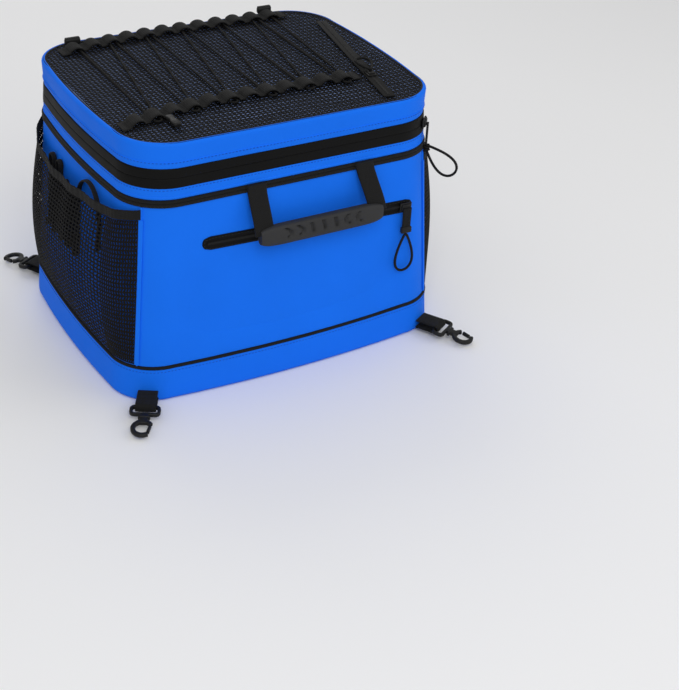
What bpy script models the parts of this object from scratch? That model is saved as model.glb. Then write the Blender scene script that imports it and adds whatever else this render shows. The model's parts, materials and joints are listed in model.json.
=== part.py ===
"""Insulated soft-sided deck bag, modelled piece by piece in metres with +Z up.

The bag stands on the plane z = 0 with its middle over the origin. Its front, with the pocket zip and
the handle, faces -Y. Every wall is a stack of bands that share one outline: a rounded rectangle that
tapers from the base to the lid.
"""

import math

import bmesh
import bpy
from mathutils import Matrix, Vector

# Outline of the bag
HEIGHT = 0.320
LID_WIDTH = 0.384
LID_DEPTH = 0.316
BASE_WIDTH = 0.432
BASE_DEPTH = 0.338
CORNER_RADIUS = 0.056
SIDE_BOW = 0.005
FRONT_BOW = 0.008
BOW_FULL_Z = 0.052
BOW_END_Z = 0.105
ARC_STEPS = 6
SIDE_STEPS = 6

# Clearance between touching pieces
GAP = 0.0003

# Walls
SKIN = 0.0018
POUCH_CLOTH = 0.0008
FOAM = 0.010
FOAM_FLOOR = 0.012
LINER = 0.0010
BASE_SHEET = 0.0025
EDGE_ROUND = 0.004

# Heights of the bands
BASE_BAND_TOP = 0.0430
PIPING_HEIGHT = 0.0036
PIPING_PROUD = 0.0024
TRIM_HEIGHT = 0.0090
TRIM_PROUD = 0.0016
COLLAR_HEIGHT = 0.0130
ZIP_TAPE_HALF = 0.0110
ZIP_PROUD = 0.0008
BASE_PROUD = 0.0014

# Lid
RIM_HEIGHT = 0.0298
RIM_FLARE = 0.004
RIM_EDGE = 0.0010
RIM_SEAM = 0.010
MESH_SHEET = 0.0012
MESH_SLACK = 0.0018

# Lid rigging
WEBBING = 0.0016
DAISY_WIDTH = 0.022
DAISY_LOOPS = 12
DAISY_MARGIN = 0.068
DAISY_TAIL = 0.0075
DAISY_RISE = 0.0056
FRONT_DAISY_X = -0.030
REAR_DAISY_X = -0.012
FRONT_DAISY_INSET = 0.072
REAR_DAISY_INSET = 0.005
FRONT_DAISY_SKEW = 0.024
REAR_DAISY_SKEW = 0.016
BUNGEE = 0.0026
BUNGEE_TURN = 0.0045
LOCK_SIZE = (0.020, 0.010, 0.009)
CLIP_SIZE = (0.010, 0.028, 0.007)
CLIP_LOOP = 1.5

# Mesh pocket zip on the lid
MESH_ZIP_REAR_INSET = (0.0055, 0.048)
MESH_ZIP_FRONT_INSET = (0.0535, 0.002)
MESH_ZIP_WIDTH = 0.014
MESH_SLIDER_INSET = 0.066

# Zips and pulls
ZIP_TAPE = 0.0016
SLIDER_LENGTH = 0.016
SLIDER_WIDTH = 0.011
SLIDER_THICK = 0.0042
TAB_THICK = 0.0022
PULL_CORD = 0.0032
PULL_TAPER = 0.3
LID_SLIDER_DEGREES = -44.0
LID_TAB_WIDTH = 0.0070
LID_TAB_LENGTH = 0.027
LID_LOOP_LENGTH = 0.048
LID_LOOP_WIDTH = 0.022
MESH_LOOP_LENGTH = 0.036
MESH_LOOP_WIDTH = 0.016
LID_LOOP_LEAN = 60.0
LID_LOOP_DROP = 0.0008

# Front pocket
POCKET_ZIP_LEFT = -0.118
POCKET_ZIP_RIGHT = 0.160
POCKET_ZIP_DROP_LEFT = 0.0517
POCKET_ZIP_DROP_RIGHT = 0.0612
POCKET_ZIP_HEIGHT = 0.017
POCKET_SLIDER_INSET = 0.011
POCKET_TAB_WIDTH = 0.0120
POCKET_TAB_LENGTH = 0.024
FERRULE_SIZE = (0.014, 0.0050, 0.0085)
POCKET_LOOP_LENGTH = 0.050
POCKET_LOOP_WIDTH = 0.022
POUCH_BOTTOM = 0.052
POUCH_DROP = 0.0397

# Side mesh pockets
POCKET_MESH = 0.0012
POCKET_BULGE = 0.028
POCKET_TUCK = 0.5
POCKET_HEM_DROP = 0.0150
POCKET_HEM_SAG = 0.016
POCKET_SEAM_STEP = 3
POCKET_ROWS = 6
HEM_HEIGHT = 0.0120
HEM_THICK = 0.0016
POCKET_SEAT = 0.0006

# Stowed shoulder strap
STRAP_WIDTH = 0.010
STRAP_THICK = 0.0024
STRAP_FOLD_DROP = 0.0397
STRAP_FOLD_LENGTH = 0.070
STRAP_FOLD_STEP = 0.011
STRAP_FOLDS = 5
STRAP_FIRST_Y = 0.080
STRAP_ARCH_DROP = 0.0087
STRAP_ARCH_SPAN = 0.064

# Handles
HANDLE_SHIFT = 0.018
HANDLE_STRAP_SPACING = 0.139
HANDLE_STRAP_WIDTH = 0.024
HANDLE_STRAP_THICK = 0.0026
GRIP_LENGTH = 0.160
GRIP_HEIGHT = 0.025
GRIP_THICK = 0.014
GRIP_LEAN = (0.002, 0.012)
GRIP_DROP = 0.0490
GRIP_STANDOFF = 0.012
GRIP_STATIONS = 13

# Corner tie-downs
TIE_DEGREES = 60.0
TAB_LENGTH = 0.026
TIE_TAB_WIDTH = 0.024
TIE_BAR_Z = 0.0115
HOOK_PLATE = 0.0050
HOOK_BAR = 0.0050
HOOK_SLOT = (0.0080, 0.0280)
HOOK_FRAME = 0.0040
HOOK_SHANK = (0.010, 0.0130)
HOOK_RING_OUTER = 0.0135
HOOK_RING_INNER = 0.0080
HOOK_MOUTH_DEGREES = (35.0, 125.0)
HOOK_DIP_DEGREES = 7.0
GATE_THICK = 0.0034
GATE_PLAY = 0.0006

# Levels worked out from the bands: the upper ones down from the lid, the lower ones up from the base
RIM_BOTTOM = HEIGHT - RIM_HEIGHT
UPPER_TAPE_TOP = RIM_BOTTOM - GAP
UPPER_TAPE_BOTTOM = UPPER_TAPE_TOP - ZIP_TAPE_HALF
SPLIT_Z = UPPER_TAPE_BOTTOM - GAP
LOWER_TAPE_BOTTOM = SPLIT_Z - ZIP_TAPE_HALF
COLLAR_TOP = LOWER_TAPE_BOTTOM - GAP
COLLAR_BOTTOM = COLLAR_TOP - COLLAR_HEIGHT
TRIM_TOP = COLLAR_BOTTOM - GAP
TRIM_BOTTOM = TRIM_TOP - TRIM_HEIGHT
SHELL_TOP = TRIM_BOTTOM - GAP
PIPING_BOTTOM = BASE_BAND_TOP + GAP
PIPING_TOP = PIPING_BOTTOM + PIPING_HEIGHT
SHELL_BOTTOM = PIPING_TOP + GAP
FOAM_OUTSIDE = SKIN + GAP + POUCH_CLOTH + GAP
FOAM_INSIDE = FOAM_OUTSIDE + FOAM
FOAM_BOTTOM = BASE_SHEET + GAP
LINER_FLOOR = FOAM_BOTTOM + FOAM_FLOOR + GAP
LINER_FLANGE = SPLIT_Z - LINER
FOAM_TOP = LINER_FLANGE - GAP
LID_LINER_TOP = UPPER_TAPE_BOTTOM + LINER
LID_FOAM_BOTTOM = LID_LINER_TOP + GAP
MESH_BOTTOM = HEIGHT - MESH_SHEET
LID_PANEL_TOP = MESH_BOTTOM - MESH_SLACK
LID_PANEL_BOTTOM = LID_PANEL_TOP - SKIN
LID_FOAM_TOP = LID_PANEL_BOTTOM - GAP
RIG_Z = HEIGHT + GAP
CORNER_POINTS = ARC_STEPS + 1
SIDE_POINTS = SIDE_STEPS - 1

# Heights measured down from the top of the skin
POCKET_ZIP_Z_LEFT = SHELL_TOP - POCKET_ZIP_DROP_LEFT
POCKET_ZIP_Z_RIGHT = SHELL_TOP - POCKET_ZIP_DROP_RIGHT
POUCH_TOP = SHELL_TOP - POUCH_DROP
POCKET_HEM_ENDS = SHELL_TOP - POCKET_HEM_DROP
STRAP_FOLD_TOP = SHELL_TOP - STRAP_FOLD_DROP
STRAP_FOLD_BOTTOM = STRAP_FOLD_TOP - STRAP_FOLD_LENGTH
STRAP_ARCH_TOP = SHELL_TOP - STRAP_ARCH_DROP
GRIP_Z = SHELL_TOP - GRIP_DROP

# Places on the lid, measured in from a line just inside its rim
SEAM_X = LID_WIDTH / 2 - RIM_SEAM
SEAM_Y = LID_DEPTH / 2 - RIM_SEAM
DAISY_PITCH = (2 * SEAM_X - DAISY_MARGIN) / DAISY_LOOPS
FRONT_DAISY_Y = FRONT_DAISY_INSET - SEAM_Y
REAR_DAISY_Y = SEAM_Y - REAR_DAISY_INSET
FRONT_DAISY = (FRONT_DAISY_X, FRONT_DAISY_Y, FRONT_DAISY_SKEW)
REAR_DAISY = (REAR_DAISY_X, REAR_DAISY_Y, REAR_DAISY_SKEW)
MESH_ZIP_REAR = Vector((SEAM_X - MESH_ZIP_REAR_INSET[0], SEAM_Y - MESH_ZIP_REAR_INSET[1], 0.0))
MESH_ZIP_FRONT = Vector((SEAM_X - MESH_ZIP_FRONT_INSET[0], MESH_ZIP_FRONT_INSET[1] - SEAM_Y, 0.0))

PARTS = "deck_bag"


def clear_scene():
    """Remove every object of the scene."""
    for obj in list(bpy.data.objects):
        bpy.data.objects.remove(obj, do_unlink=True)


def make_material(name, colour, roughness):
    """Return a Principled BSDF material."""
    material = bpy.data.materials.new(name)
    material.use_nodes = True
    shader = material.node_tree.nodes["Principled BSDF"]
    shader.inputs["Base Color"].default_value = (*colour, 1.0)
    shader.inputs["Roughness"].default_value = roughness
    shader.inputs["Metallic"].default_value = 0.0
    return material


def add_object(name, data, look, pivot=(0.0, 0.0, 0.0)):
    """Link an object whose data is in world places, with its origin moved to the pivot."""
    data.transform(Matrix.Translation(-Vector(pivot)))
    obj = bpy.data.objects.new(name, data)
    obj.location = pivot
    data.materials.append(make_material(name, *LOOKS[look]))
    bpy.data.collections[PARTS].objects.link(obj)
    return obj


def close_mesh(name, bm):
    """Turn a bmesh into a mesh whose faces point outwards."""
    bmesh.ops.recalc_face_normals(bm, faces=bm.faces)
    if bm.calc_volume(signed=True) < 0.0:
        bmesh.ops.reverse_faces(bm, faces=bm.faces)
    mesh = bpy.data.meshes.new(name)
    bm.to_mesh(mesh)
    bm.free()
    mesh.shade_smooth()
    mesh.set_sharp_from_angle(angle=math.radians(40.0))
    return mesh


def half_sizes(z):
    """Half width and half depth of the outline at a height."""
    share = z / HEIGHT
    width = BASE_WIDTH + (LID_WIDTH - BASE_WIDTH) * share
    depth = BASE_DEPTH + (LID_DEPTH - BASE_DEPTH) * share
    return width / 2, depth / 2


def front_bow(z):
    """How far the middle of the front swells forward at a height: fully at the base, not at the zip."""
    share = min(max((BOW_END_Z - z) / (BOW_END_Z - BOW_FULL_Z), 0.0), 1.0)
    return FRONT_BOW * share


def ring(z, inset=0.0):
    """Points of the outline at a height, set in from the skin, anticlockwise from the front right."""
    half_w, half_d = half_sizes(z)
    half_w -= inset
    half_d -= inset
    radius = max(CORNER_RADIUS - inset, EDGE_ROUND)
    run_x = half_w - radius
    run_y = half_d - radius
    points = []
    for corner in range(4):
        sign_x = 1 if corner in (0, 1) else -1
        sign_y = 1 if corner in (1, 2) else -1
        for step in range(CORNER_POINTS):
            turn = math.radians(90.0 * (corner - 1 + step / ARC_STEPS))
            x = sign_x * run_x + radius * math.cos(turn)
            y = sign_y * run_y + radius * math.sin(turn)
            points.append(Vector((x, y, z)))
        for step in range(1, SIDE_STEPS):
            along = 2.0 * step / SIDE_STEPS - 1.0
            swell = 1.0 - along ** 2
            bow = SIDE_BOW * swell
            side = (
                (half_w + bow, along * run_y),
                (-along * run_x, half_d),
                (-half_w - bow, -along * run_y),
                (along * run_x, -half_d - front_bow(z) * swell),
            )[corner]
            points.append(Vector((*side, z)))
    return points


def front_y(x, z):
    """Y of the front skin at a place across it and a height."""
    half_w, half_d = half_sizes(z)
    over = max(abs(x) - (half_w - CORNER_RADIUS), 0.0)
    return -half_d + CORNER_RADIUS - math.sqrt(CORNER_RADIUS ** 2 - over ** 2)


def is_twisted(corners):
    """Whether four corners lie out of one plane, so that nested walls must be split alike."""
    a, b, c, d = (corner.co for corner in corners)
    normal = (b - a).cross(c - a)
    return normal.length > 0.0 and abs(normal.normalized().dot(d - a)) > GAP


def loft(name, loops, closed=False):
    """Mesh through loops of equal length: capped at both ends, or closed into a ring."""
    bm = bmesh.new()
    rows = [[bm.verts.new(point) for point in loop] for loop in loops]
    count = len(rows[0])
    pairs = list(zip(rows, rows[1:]))
    if closed:
        pairs.append((rows[-1], rows[0]))
    for low, high in pairs:
        for i in range(count):
            j = (i + 1) % count
            corners = (low[i], low[j], high[j], high[i])
            if not is_twisted(corners):
                bm.faces.new(corners)
            elif low[j].co.z + high[i].co.z > 2 * low[i].co.z:
                bm.faces.new((low[i], low[j], high[j]))
                bm.faces.new((low[i], high[j], high[i]))
            else:
                bm.faces.new((low[i], low[j], high[i]))
                bm.faces.new((low[j], high[j], high[i]))
    if not closed:
        bm.faces.new(reversed(rows[0]))
        bm.faces.new(rows[-1])
    return close_mesh(name, bm)


def band(name, profile, look, pivot=(0.0, 0.0, 0.0)):
    """A ring wall whose section is a list of (height, inset) points."""
    loops = [ring(z, inset) for z, inset in profile]
    return add_object(name, loft(name, loops, closed=True), look, pivot)


def slab(name, profile, look, pivot=(0.0, 0.0, 0.0)):
    """A capped body, or a cup, whose section is a list of (height, inset) points."""
    loops = [ring(z, inset) for z, inset in profile]
    return add_object(name, loft(name, loops), look, pivot)


def ribbon(name, path, across, width, thickness, look, pivot=(0.0, 0.0, 0.0)):
    """Webbing along a path, with its width along one direction."""
    across = Vector(across).normalized()
    points = [Vector(point) for point in path]
    loops = []
    for i, point in enumerate(points):
        before = points[max(i - 1, 0)]
        after = points[min(i + 1, len(points) - 1)]
        normal = across.cross(after - before).normalized() * (thickness / 2)
        side = across * (width / 2)
        loops.append((point - side - normal, point + side - normal, point + side + normal, point - side + normal))
    return add_object(name, loft(name, loops), look, pivot)


def tube(name, path, radius, look, cyclic=False, pivot=(0.0, 0.0, 0.0)):
    """A round cord along a path."""
    curve = bpy.data.curves.new(name, "CURVE")
    curve.dimensions = "3D"
    curve.bevel_depth = radius
    curve.bevel_resolution = 1
    curve.use_fill_caps = not cyclic
    spline = curve.splines.new("POLY")
    spline.points.add(len(path) - 1)
    for target, point in zip(spline.points, path):
        target.co = (*point, 1.0)
    spline.use_cyclic_u = cyclic
    return add_object(name, curve, look, pivot)


def block(name, size, place, look, edge, pivot=None):
    """A block with bevelled edges, put in place by a matrix."""
    bm = bmesh.new()
    bmesh.ops.create_cube(bm, size=1.0)
    bmesh.ops.scale(bm, vec=size, verts=bm.verts)
    bmesh.ops.bevel(bm, geom=bm.edges, offset=edge, segments=2, profile=0.5, affect="EDGES")
    bm.transform(place)
    return add_object(name, close_mesh(name, bm), look, pivot or place.translation)


def plate(name, outlines, thickness, place, look, pivot):
    """A flat piece cut to an outline, with any holes, put in place by a matrix."""
    curve = bpy.data.curves.new(name, "CURVE")
    curve.dimensions = "2D"
    curve.fill_mode = "BOTH"
    curve.extrude = thickness / 2
    for outline in outlines:
        spline = curve.splines.new("POLY")
        spline.points.add(len(outline) - 1)
        for target, point in zip(spline.points, outline):
            target.co = (*point, 0.0, 1.0)
        spline.use_cyclic_u = True
    guide = bpy.data.objects.new(name + "_guide", curve)
    bpy.context.scene.collection.objects.link(guide)
    graph = bpy.context.evaluated_depsgraph_get()
    bm = bmesh.new()
    bm.from_mesh(guide.evaluated_get(graph).to_mesh())
    bpy.data.objects.remove(guide, do_unlink=True)
    bmesh.ops.remove_doubles(bm, verts=bm.verts, dist=0.00001)
    bm.transform(place)
    return add_object(name, close_mesh(name, bm), look, pivot)


def arc(centre, radius, start, end, steps):
    """Points of a flat arc, in degrees, both ends included."""
    turns = [math.radians(start + (end - start) * i / steps) for i in range(steps + 1)]
    return [(centre[0] + radius * math.cos(t), centre[1] + radius * math.sin(t)) for t in turns]


def make_base():
    """Bottom sheet, base band and the piping in the seam above it."""
    slab("base_panel", [(0.0, EDGE_ROUND + SKIN), (BASE_SHEET, SKIN)], "blue")
    bottom = BASE_SHEET + GAP
    band("base_band", [
        (bottom, SKIN),
        (bottom, 0.0),
        (bottom + EDGE_ROUND, -BASE_PROUD),
        (BASE_BAND_TOP, -BASE_PROUD),
        (BASE_BAND_TOP, SKIN),
    ], "blue")
    middle = (PIPING_BOTTOM + PIPING_TOP) / 2
    shoulder = PIPING_PROUD / 3
    band("base_piping", [
        (PIPING_BOTTOM, SKIN),
        (PIPING_BOTTOM, -shoulder),
        (middle, -PIPING_PROUD),
        (PIPING_TOP, -shoulder),
        (PIPING_TOP, SKIN),
    ], "trim")


def wall_profile(bottom, top, proud=0.0):
    """Section of a plain skin band between two heights."""
    return [(bottom, SKIN), (bottom, -proud), (top, -proud), (top, SKIN)]


def bowed(inset):
    """The two heights between which the front's swell fades, at one inset."""
    return [(BOW_FULL_Z, inset), (BOW_END_Z, inset)]


def make_body():
    """Skin, insulation and liner of the body, with the bands above the body panel."""
    band("body_shell", [
        (SHELL_BOTTOM, SKIN),
        (SHELL_BOTTOM, 0.0),
        *bowed(0.0),
        (SHELL_TOP, 0.0),
        (SHELL_TOP, SKIN),
        *reversed(bowed(SKIN)),
    ], "blue")
    band("trim_binding", wall_profile(TRIM_BOTTOM, TRIM_TOP, TRIM_PROUD), "trim")
    band("collar_band", wall_profile(COLLAR_BOTTOM, COLLAR_TOP), "blue")
    band("zip_tape_lower", wall_profile(LOWER_TAPE_BOTTOM, SPLIT_Z, ZIP_PROUD), "zip")
    slab("body_insulation", [
        (FOAM_BOTTOM, FOAM_OUTSIDE),
        *bowed(FOAM_OUTSIDE),
        (FOAM_TOP, FOAM_OUTSIDE),
        (FOAM_TOP, FOAM_INSIDE),
        *reversed(bowed(FOAM_INSIDE)),
        (FOAM_BOTTOM + FOAM_FLOOR, FOAM_INSIDE),
    ], "foam")
    liner_out = FOAM_INSIDE + GAP
    liner_in = liner_out + LINER
    slab("inner_liner", [
        (LINER_FLOOR, liner_out),
        *bowed(liner_out),
        (LINER_FLANGE, liner_out),
        (LINER_FLANGE, SKIN + GAP),
        (SPLIT_Z, SKIN + GAP),
        (SPLIT_Z, liner_in),
        *reversed(bowed(liner_in)),
        (LINER_FLOOR + LINER, liner_in),
    ], "liner")


def make_front_pocket():
    """Zip tape on the front skin and the flat pouch behind it."""
    first = 4 * CORNER_POINTS + 3 * SIDE_POINTS
    across = range(first - 1, first + SIDE_POINTS + 1)
    outside = SKIN + GAP
    inside = outside + POUCH_CLOTH
    loops = []
    for i in across:
        index = i % (4 * (CORNER_POINTS + SIDE_POINTS))
        loops.append([
            ring(POUCH_BOTTOM, outside)[index],
            ring(BOW_END_Z, outside)[index],
            ring(POUCH_TOP, outside)[index],
            ring(POUCH_TOP, inside)[index],
            ring(BOW_END_Z, inside)[index],
            ring(POUCH_BOTTOM, inside)[index],
        ])
    add_object("front_pocket_pouch", loft("front_pocket_pouch", loops), "liner")

    half = POCKET_ZIP_HEIGHT / 2
    length = POCKET_ZIP_RIGHT - POCKET_ZIP_LEFT
    turns = [math.radians(a) for a in (15.0, 45.0, 90.0)]
    ends = [(half * (1.0 - math.cos(t)), half * math.sin(t)) for t in turns]
    straight = [(half + (length - 2 * half) * i / 10, half) for i in range(1, 10)]
    stations = ends + straight + [(length - along, rise) for along, rise in reversed(ends)]
    loops = []
    for along, rise in stations:
        x = POCKET_ZIP_LEFT + along
        z = pocket_zip_z(x)
        loops.append([
            Vector((x, front_y(x, z + side * rise) - out, z + side * rise))
            for side, out in ((-1, GAP), (1, GAP), (1, GAP + ZIP_TAPE), (-1, GAP + ZIP_TAPE))
        ])
    add_object("front_pocket_zip_tape", loft("front_pocket_zip_tape", loops), "zip")


def pocket_zip_z(x):
    """Height of the front pocket zip at a place across the front."""
    share = (x - POCKET_ZIP_LEFT) / (POCKET_ZIP_RIGHT - POCKET_ZIP_LEFT)
    return POCKET_ZIP_Z_LEFT + (POCKET_ZIP_Z_RIGHT - POCKET_ZIP_Z_LEFT) * share


def side_pocket_point(index, share, row):
    """A point of a side pocket's mesh, and the outward direction there."""
    hem = POCKET_HEM_ENDS - POCKET_HEM_SAG * math.sin(math.pi * share)
    bottom = PIPING_TOP + PIPING_PROUD
    z = bottom + (hem - bottom) * row
    here = ring(z)[index]
    outward = (ring(z, -CORNER_RADIUS / 8)[index] - here).normalized()
    swell = POCKET_BULGE * math.sin(math.pi * share) * math.sin(math.pi * POCKET_TUCK * row) ** 0.8
    return here + outward * (POCKET_SEAT + swell), outward


def make_side_pocket(side, first, last):
    """A mesh pocket with an elastic hem on one side of the body."""
    count = last - first
    bm = bmesh.new()
    rows = []
    hem_path = []
    for step in range(count + 1):
        share = step / count
        column = [side_pocket_point(first + step, share, r / POCKET_ROWS)[0] for r in range(POCKET_ROWS + 1)]
        rows.append([bm.verts.new(point) for point in column])
        outward = side_pocket_point(first + step, share, 1.0)[1]
        rise = Vector((0.0, 0.0, HEM_HEIGHT / 2 + 2 * GAP))
        hem_path.append(column[-1] + rise + outward * HEM_THICK / 2)
    for near, far in zip(rows, rows[1:]):
        for r in range(POCKET_ROWS):
            bm.faces.new((near[r], far[r], far[r + 1], near[r + 1]))
    mesh = bpy.data.meshes.new(side + "_pocket_mesh")
    bm.to_mesh(mesh)
    bm.free()
    mesh.shade_smooth()
    sheet = add_object(side + "_pocket_mesh", mesh, "mesh")
    solid = sheet.modifiers.new("cloth", "SOLIDIFY")
    solid.thickness = POCKET_MESH
    solid.offset = 1.0
    ribbon(side + "_pocket_hem", hem_path, (0.0, 0.0, 1.0), HEM_HEIGHT, HEM_THICK, "trim")


def make_side_pockets():
    """The left and the right mesh pocket."""
    block_points = CORNER_POINTS + SIDE_POINTS
    seam = POCKET_SEAM_STEP
    make_side_pocket("right", seam, block_points + ARC_STEPS - seam)
    make_side_pocket("left", 2 * block_points + seam, 3 * block_points + ARC_STEPS - seam)


def make_shoulder_strap():
    """The shoulder strap, folded away in the left pocket with one bight standing out of it."""
    path = []
    for fold in range(STRAP_FOLDS):
        y = STRAP_FIRST_Y - 2 * STRAP_FOLD_STEP * fold
        radius = STRAP_FOLD_STEP / 2
        turn_up = arc((y - radius, STRAP_FOLD_BOTTOM), radius, 0.0, -180.0, 6)
        turn_down = arc((y - 3 * radius, STRAP_FOLD_TOP), radius, 0.0, 180.0, 6)
        path += turn_up
        if fold < STRAP_FOLDS - 1:
            path += turn_down
    start = path[-1][0]
    rise = STRAP_ARCH_TOP - STRAP_FOLD_TOP
    half = STRAP_ARCH_SPAN / 2
    for step in range(13):
        turn = math.pi * step / 12
        path.append((start - half + half * math.cos(turn), STRAP_FOLD_TOP + rise * math.sin(turn)))
    path.append((start - STRAP_ARCH_SPAN, (STRAP_FOLD_TOP + STRAP_FOLD_BOTTOM) / 2))
    middle = half_sizes(STRAP_FOLD_BOTTOM - STRAP_FOLD_STEP)[0] + SIDE_BOW + GAP + STRAP_WIDTH / 2
    points = [(-middle, y, z) for y, z in path]
    ribbon("shoulder_strap", points, (1.0, 0.0, 0.0), STRAP_WIDTH, STRAP_THICK, "webbing")


def lid_pivot():
    """A point on the lid's fold line, at the rear of the split."""
    return Vector((0.0, half_sizes(SPLIT_Z)[1] + ZIP_PROUD, SPLIT_Z))


def rim_inset(z):
    """Inset of the rim's skin at a height: it flares out from its seam to its top edge."""
    return -RIM_FLARE * max(z - RIM_BOTTOM, 0.0) / RIM_HEIGHT


def make_lid():
    """Rim, panel, insulation, liner, zip tape and mesh of the lid."""
    pivot = lid_pivot()
    band("lid_rim", [
        (RIM_BOTTOM, SKIN),
        (RIM_BOTTOM, 0.0),
        (HEIGHT - RIM_EDGE, rim_inset(HEIGHT - RIM_EDGE)),
        (HEIGHT, RIM_EDGE - RIM_FLARE),
        (HEIGHT, SKIN - RIM_FLARE),
    ], "blue", pivot)
    band("zip_tape_upper", wall_profile(UPPER_TAPE_BOTTOM, UPPER_TAPE_TOP, ZIP_PROUD), "zip", pivot)
    inset = SKIN + GAP
    slab("lid_liner", [(UPPER_TAPE_BOTTOM, inset), (LID_LINER_TOP, inset)], "liner", pivot)
    for name, low, high, look in (("lid_insulation", LID_FOAM_BOTTOM, LID_FOAM_TOP, "foam"),
                                  ("lid_panel", LID_PANEL_BOTTOM, LID_PANEL_TOP, "blue"),
                                  ("lid_mesh", MESH_BOTTOM, HEIGHT, "mesh")):
        levels = sorted({low, min(max(low, RIM_BOTTOM), high), high})
        slab(name, [(z, inset + rim_inset(z)) for z in levels], look, pivot)


def daisy_x(centre, loop):
    """Place across the lid of the middle of one loop of a chain."""
    return centre + (loop - (DAISY_LOOPS - 1) / 2) * DAISY_PITCH


def daisy_y(row, x):
    """Place from front to rear of a chain, whose left half bends forward, at a place across the lid."""
    centre, y, skew = row
    return y - skew * max(2 * (centre - x) / (DAISY_LOOPS * DAISY_PITCH), 0.0) ** 2


def make_daisy_chain(name, row):
    """Webbing gathered into a row of loops, sewn down between them."""
    centre = row[0]
    base = RIG_Z + WEBBING / 2
    flat = DAISY_PITCH * 0.12
    path = [(daisy_x(centre, 0) - DAISY_PITCH / 2 - DAISY_TAIL, base)]
    for loop in range(DAISY_LOOPS):
        middle = daisy_x(centre, loop)
        reach = DAISY_PITCH / 2 - flat
        for step in range(7):
            along = step / 3 - 1.0
            rise = DAISY_RISE * math.cos(math.pi / 2 * along) ** 0.8
            path.append((middle + reach * along, base + rise))
    path.append((daisy_x(centre, DAISY_LOOPS - 1) + DAISY_PITCH / 2 + DAISY_TAIL, base))
    points = [(x, daisy_y(row, x), z) for x, z in path]
    ribbon(name, points, (0.0, 1.0, 0.0), DAISY_WIDTH, WEBBING, "webbing", lid_pivot())


def bungee_route():
    """Lacing in a zigzag, through every second loop of each chain, from one cord lock to the other."""
    z = RIG_Z + BUNGEE / 2
    half = DAISY_WIDTH / 2
    route = []
    for loop in range(DAISY_LOOPS):
        row, outward = (FRONT_DAISY, -1.0) if loop % 2 == 1 else (REAR_DAISY, 1.0)
        x = daisy_x(row[0], loop)
        y = daisy_y(row, x)
        near, far = y - outward * half, y + outward * half
        if loop == 0:
            route += [(x + BUNGEE_TURN, far + GAP, z), (x + BUNGEE_TURN, near, z)]
            continue
        route += [(x - BUNGEE_TURN, near, z), (x - BUNGEE_TURN, far, z)]
        for step in range(1, 6):
            turn = math.pi * step / 6
            route.append((x - BUNGEE_TURN * math.cos(turn), far + outward * BUNGEE_TURN * math.sin(turn), z))
        route += [(x + BUNGEE_TURN, far, z), (x + BUNGEE_TURN, near, z)]
    x = daisy_x(REAR_DAISY_X, DAISY_LOOPS - 1)
    route += [(x, REAR_DAISY_Y - half, z), (x, REAR_DAISY_Y + half + GAP, z)]
    return route


def make_lid_rigging():
    """Daisy chains, bungee lacing, cord locks and clip on the lid."""
    pivot = lid_pivot()
    make_daisy_chain("front_daisy_chain", FRONT_DAISY)
    make_daisy_chain("rear_daisy_chain", REAR_DAISY)
    route = bungee_route()
    tube("bungee_cord", route, BUNGEE / 2, "cord", pivot=pivot)
    for side, end in (("left", route[0]), ("right", route[-1])):
        lock_y = daisy_y(REAR_DAISY, end[0] + LOCK_SIZE[0] / 2) + DAISY_WIDTH / 2 + 3 * GAP + LOCK_SIZE[1] / 2
        place = Matrix.Translation((end[0], lock_y, RIG_Z + LOCK_SIZE[2] / 2))
        block("cord_lock_" + side, LOCK_SIZE, place, "plastic", EDGE_ROUND / 2, pivot)
    clip_x = daisy_x(FRONT_DAISY_X, CLIP_LOOP)
    clip_y = daisy_y(FRONT_DAISY, clip_x - CLIP_SIZE[0] / 2) - DAISY_WIDTH / 2 - 3 * GAP - CLIP_SIZE[1] / 2
    place = Matrix.Translation((clip_x, clip_y, RIG_Z + CLIP_SIZE[2] / 2))
    block("cord_clip", CLIP_SIZE, place, "plastic", EDGE_ROUND / 2, pivot)


def pull_loop(length, width, steps=16):
    """Points of a closed pear-shaped loop that hangs from the origin along -Y of its own plane."""
    points = []
    for step in range(steps):
        turn = 2.0 * math.pi * step / steps
        fall = (1.0 - math.cos(turn)) / 2
        reach = width / 2 * (1.0 + PULL_TAPER * (fall - 0.5))
        points.append((math.sin(turn) * reach, -length * fall))
    return points


def make_slider(name, place):
    """A zip slider: a block whose own X runs along the zip and whose own Z stands off it."""
    return block(name, (SLIDER_LENGTH, SLIDER_WIDTH, SLIDER_THICK), place, "plastic", SLIDER_THICK / 4)


def frame_matrix(origin, x_axis, z_axis):
    """A matrix from an origin, the direction of X and the direction of Z."""
    x_axis = Vector(x_axis).normalized()
    z_axis = Vector(z_axis).normalized()
    turn = Matrix((x_axis, z_axis.cross(x_axis), z_axis)).transposed().to_4x4()
    return Matrix.Translation(origin) @ turn


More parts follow.
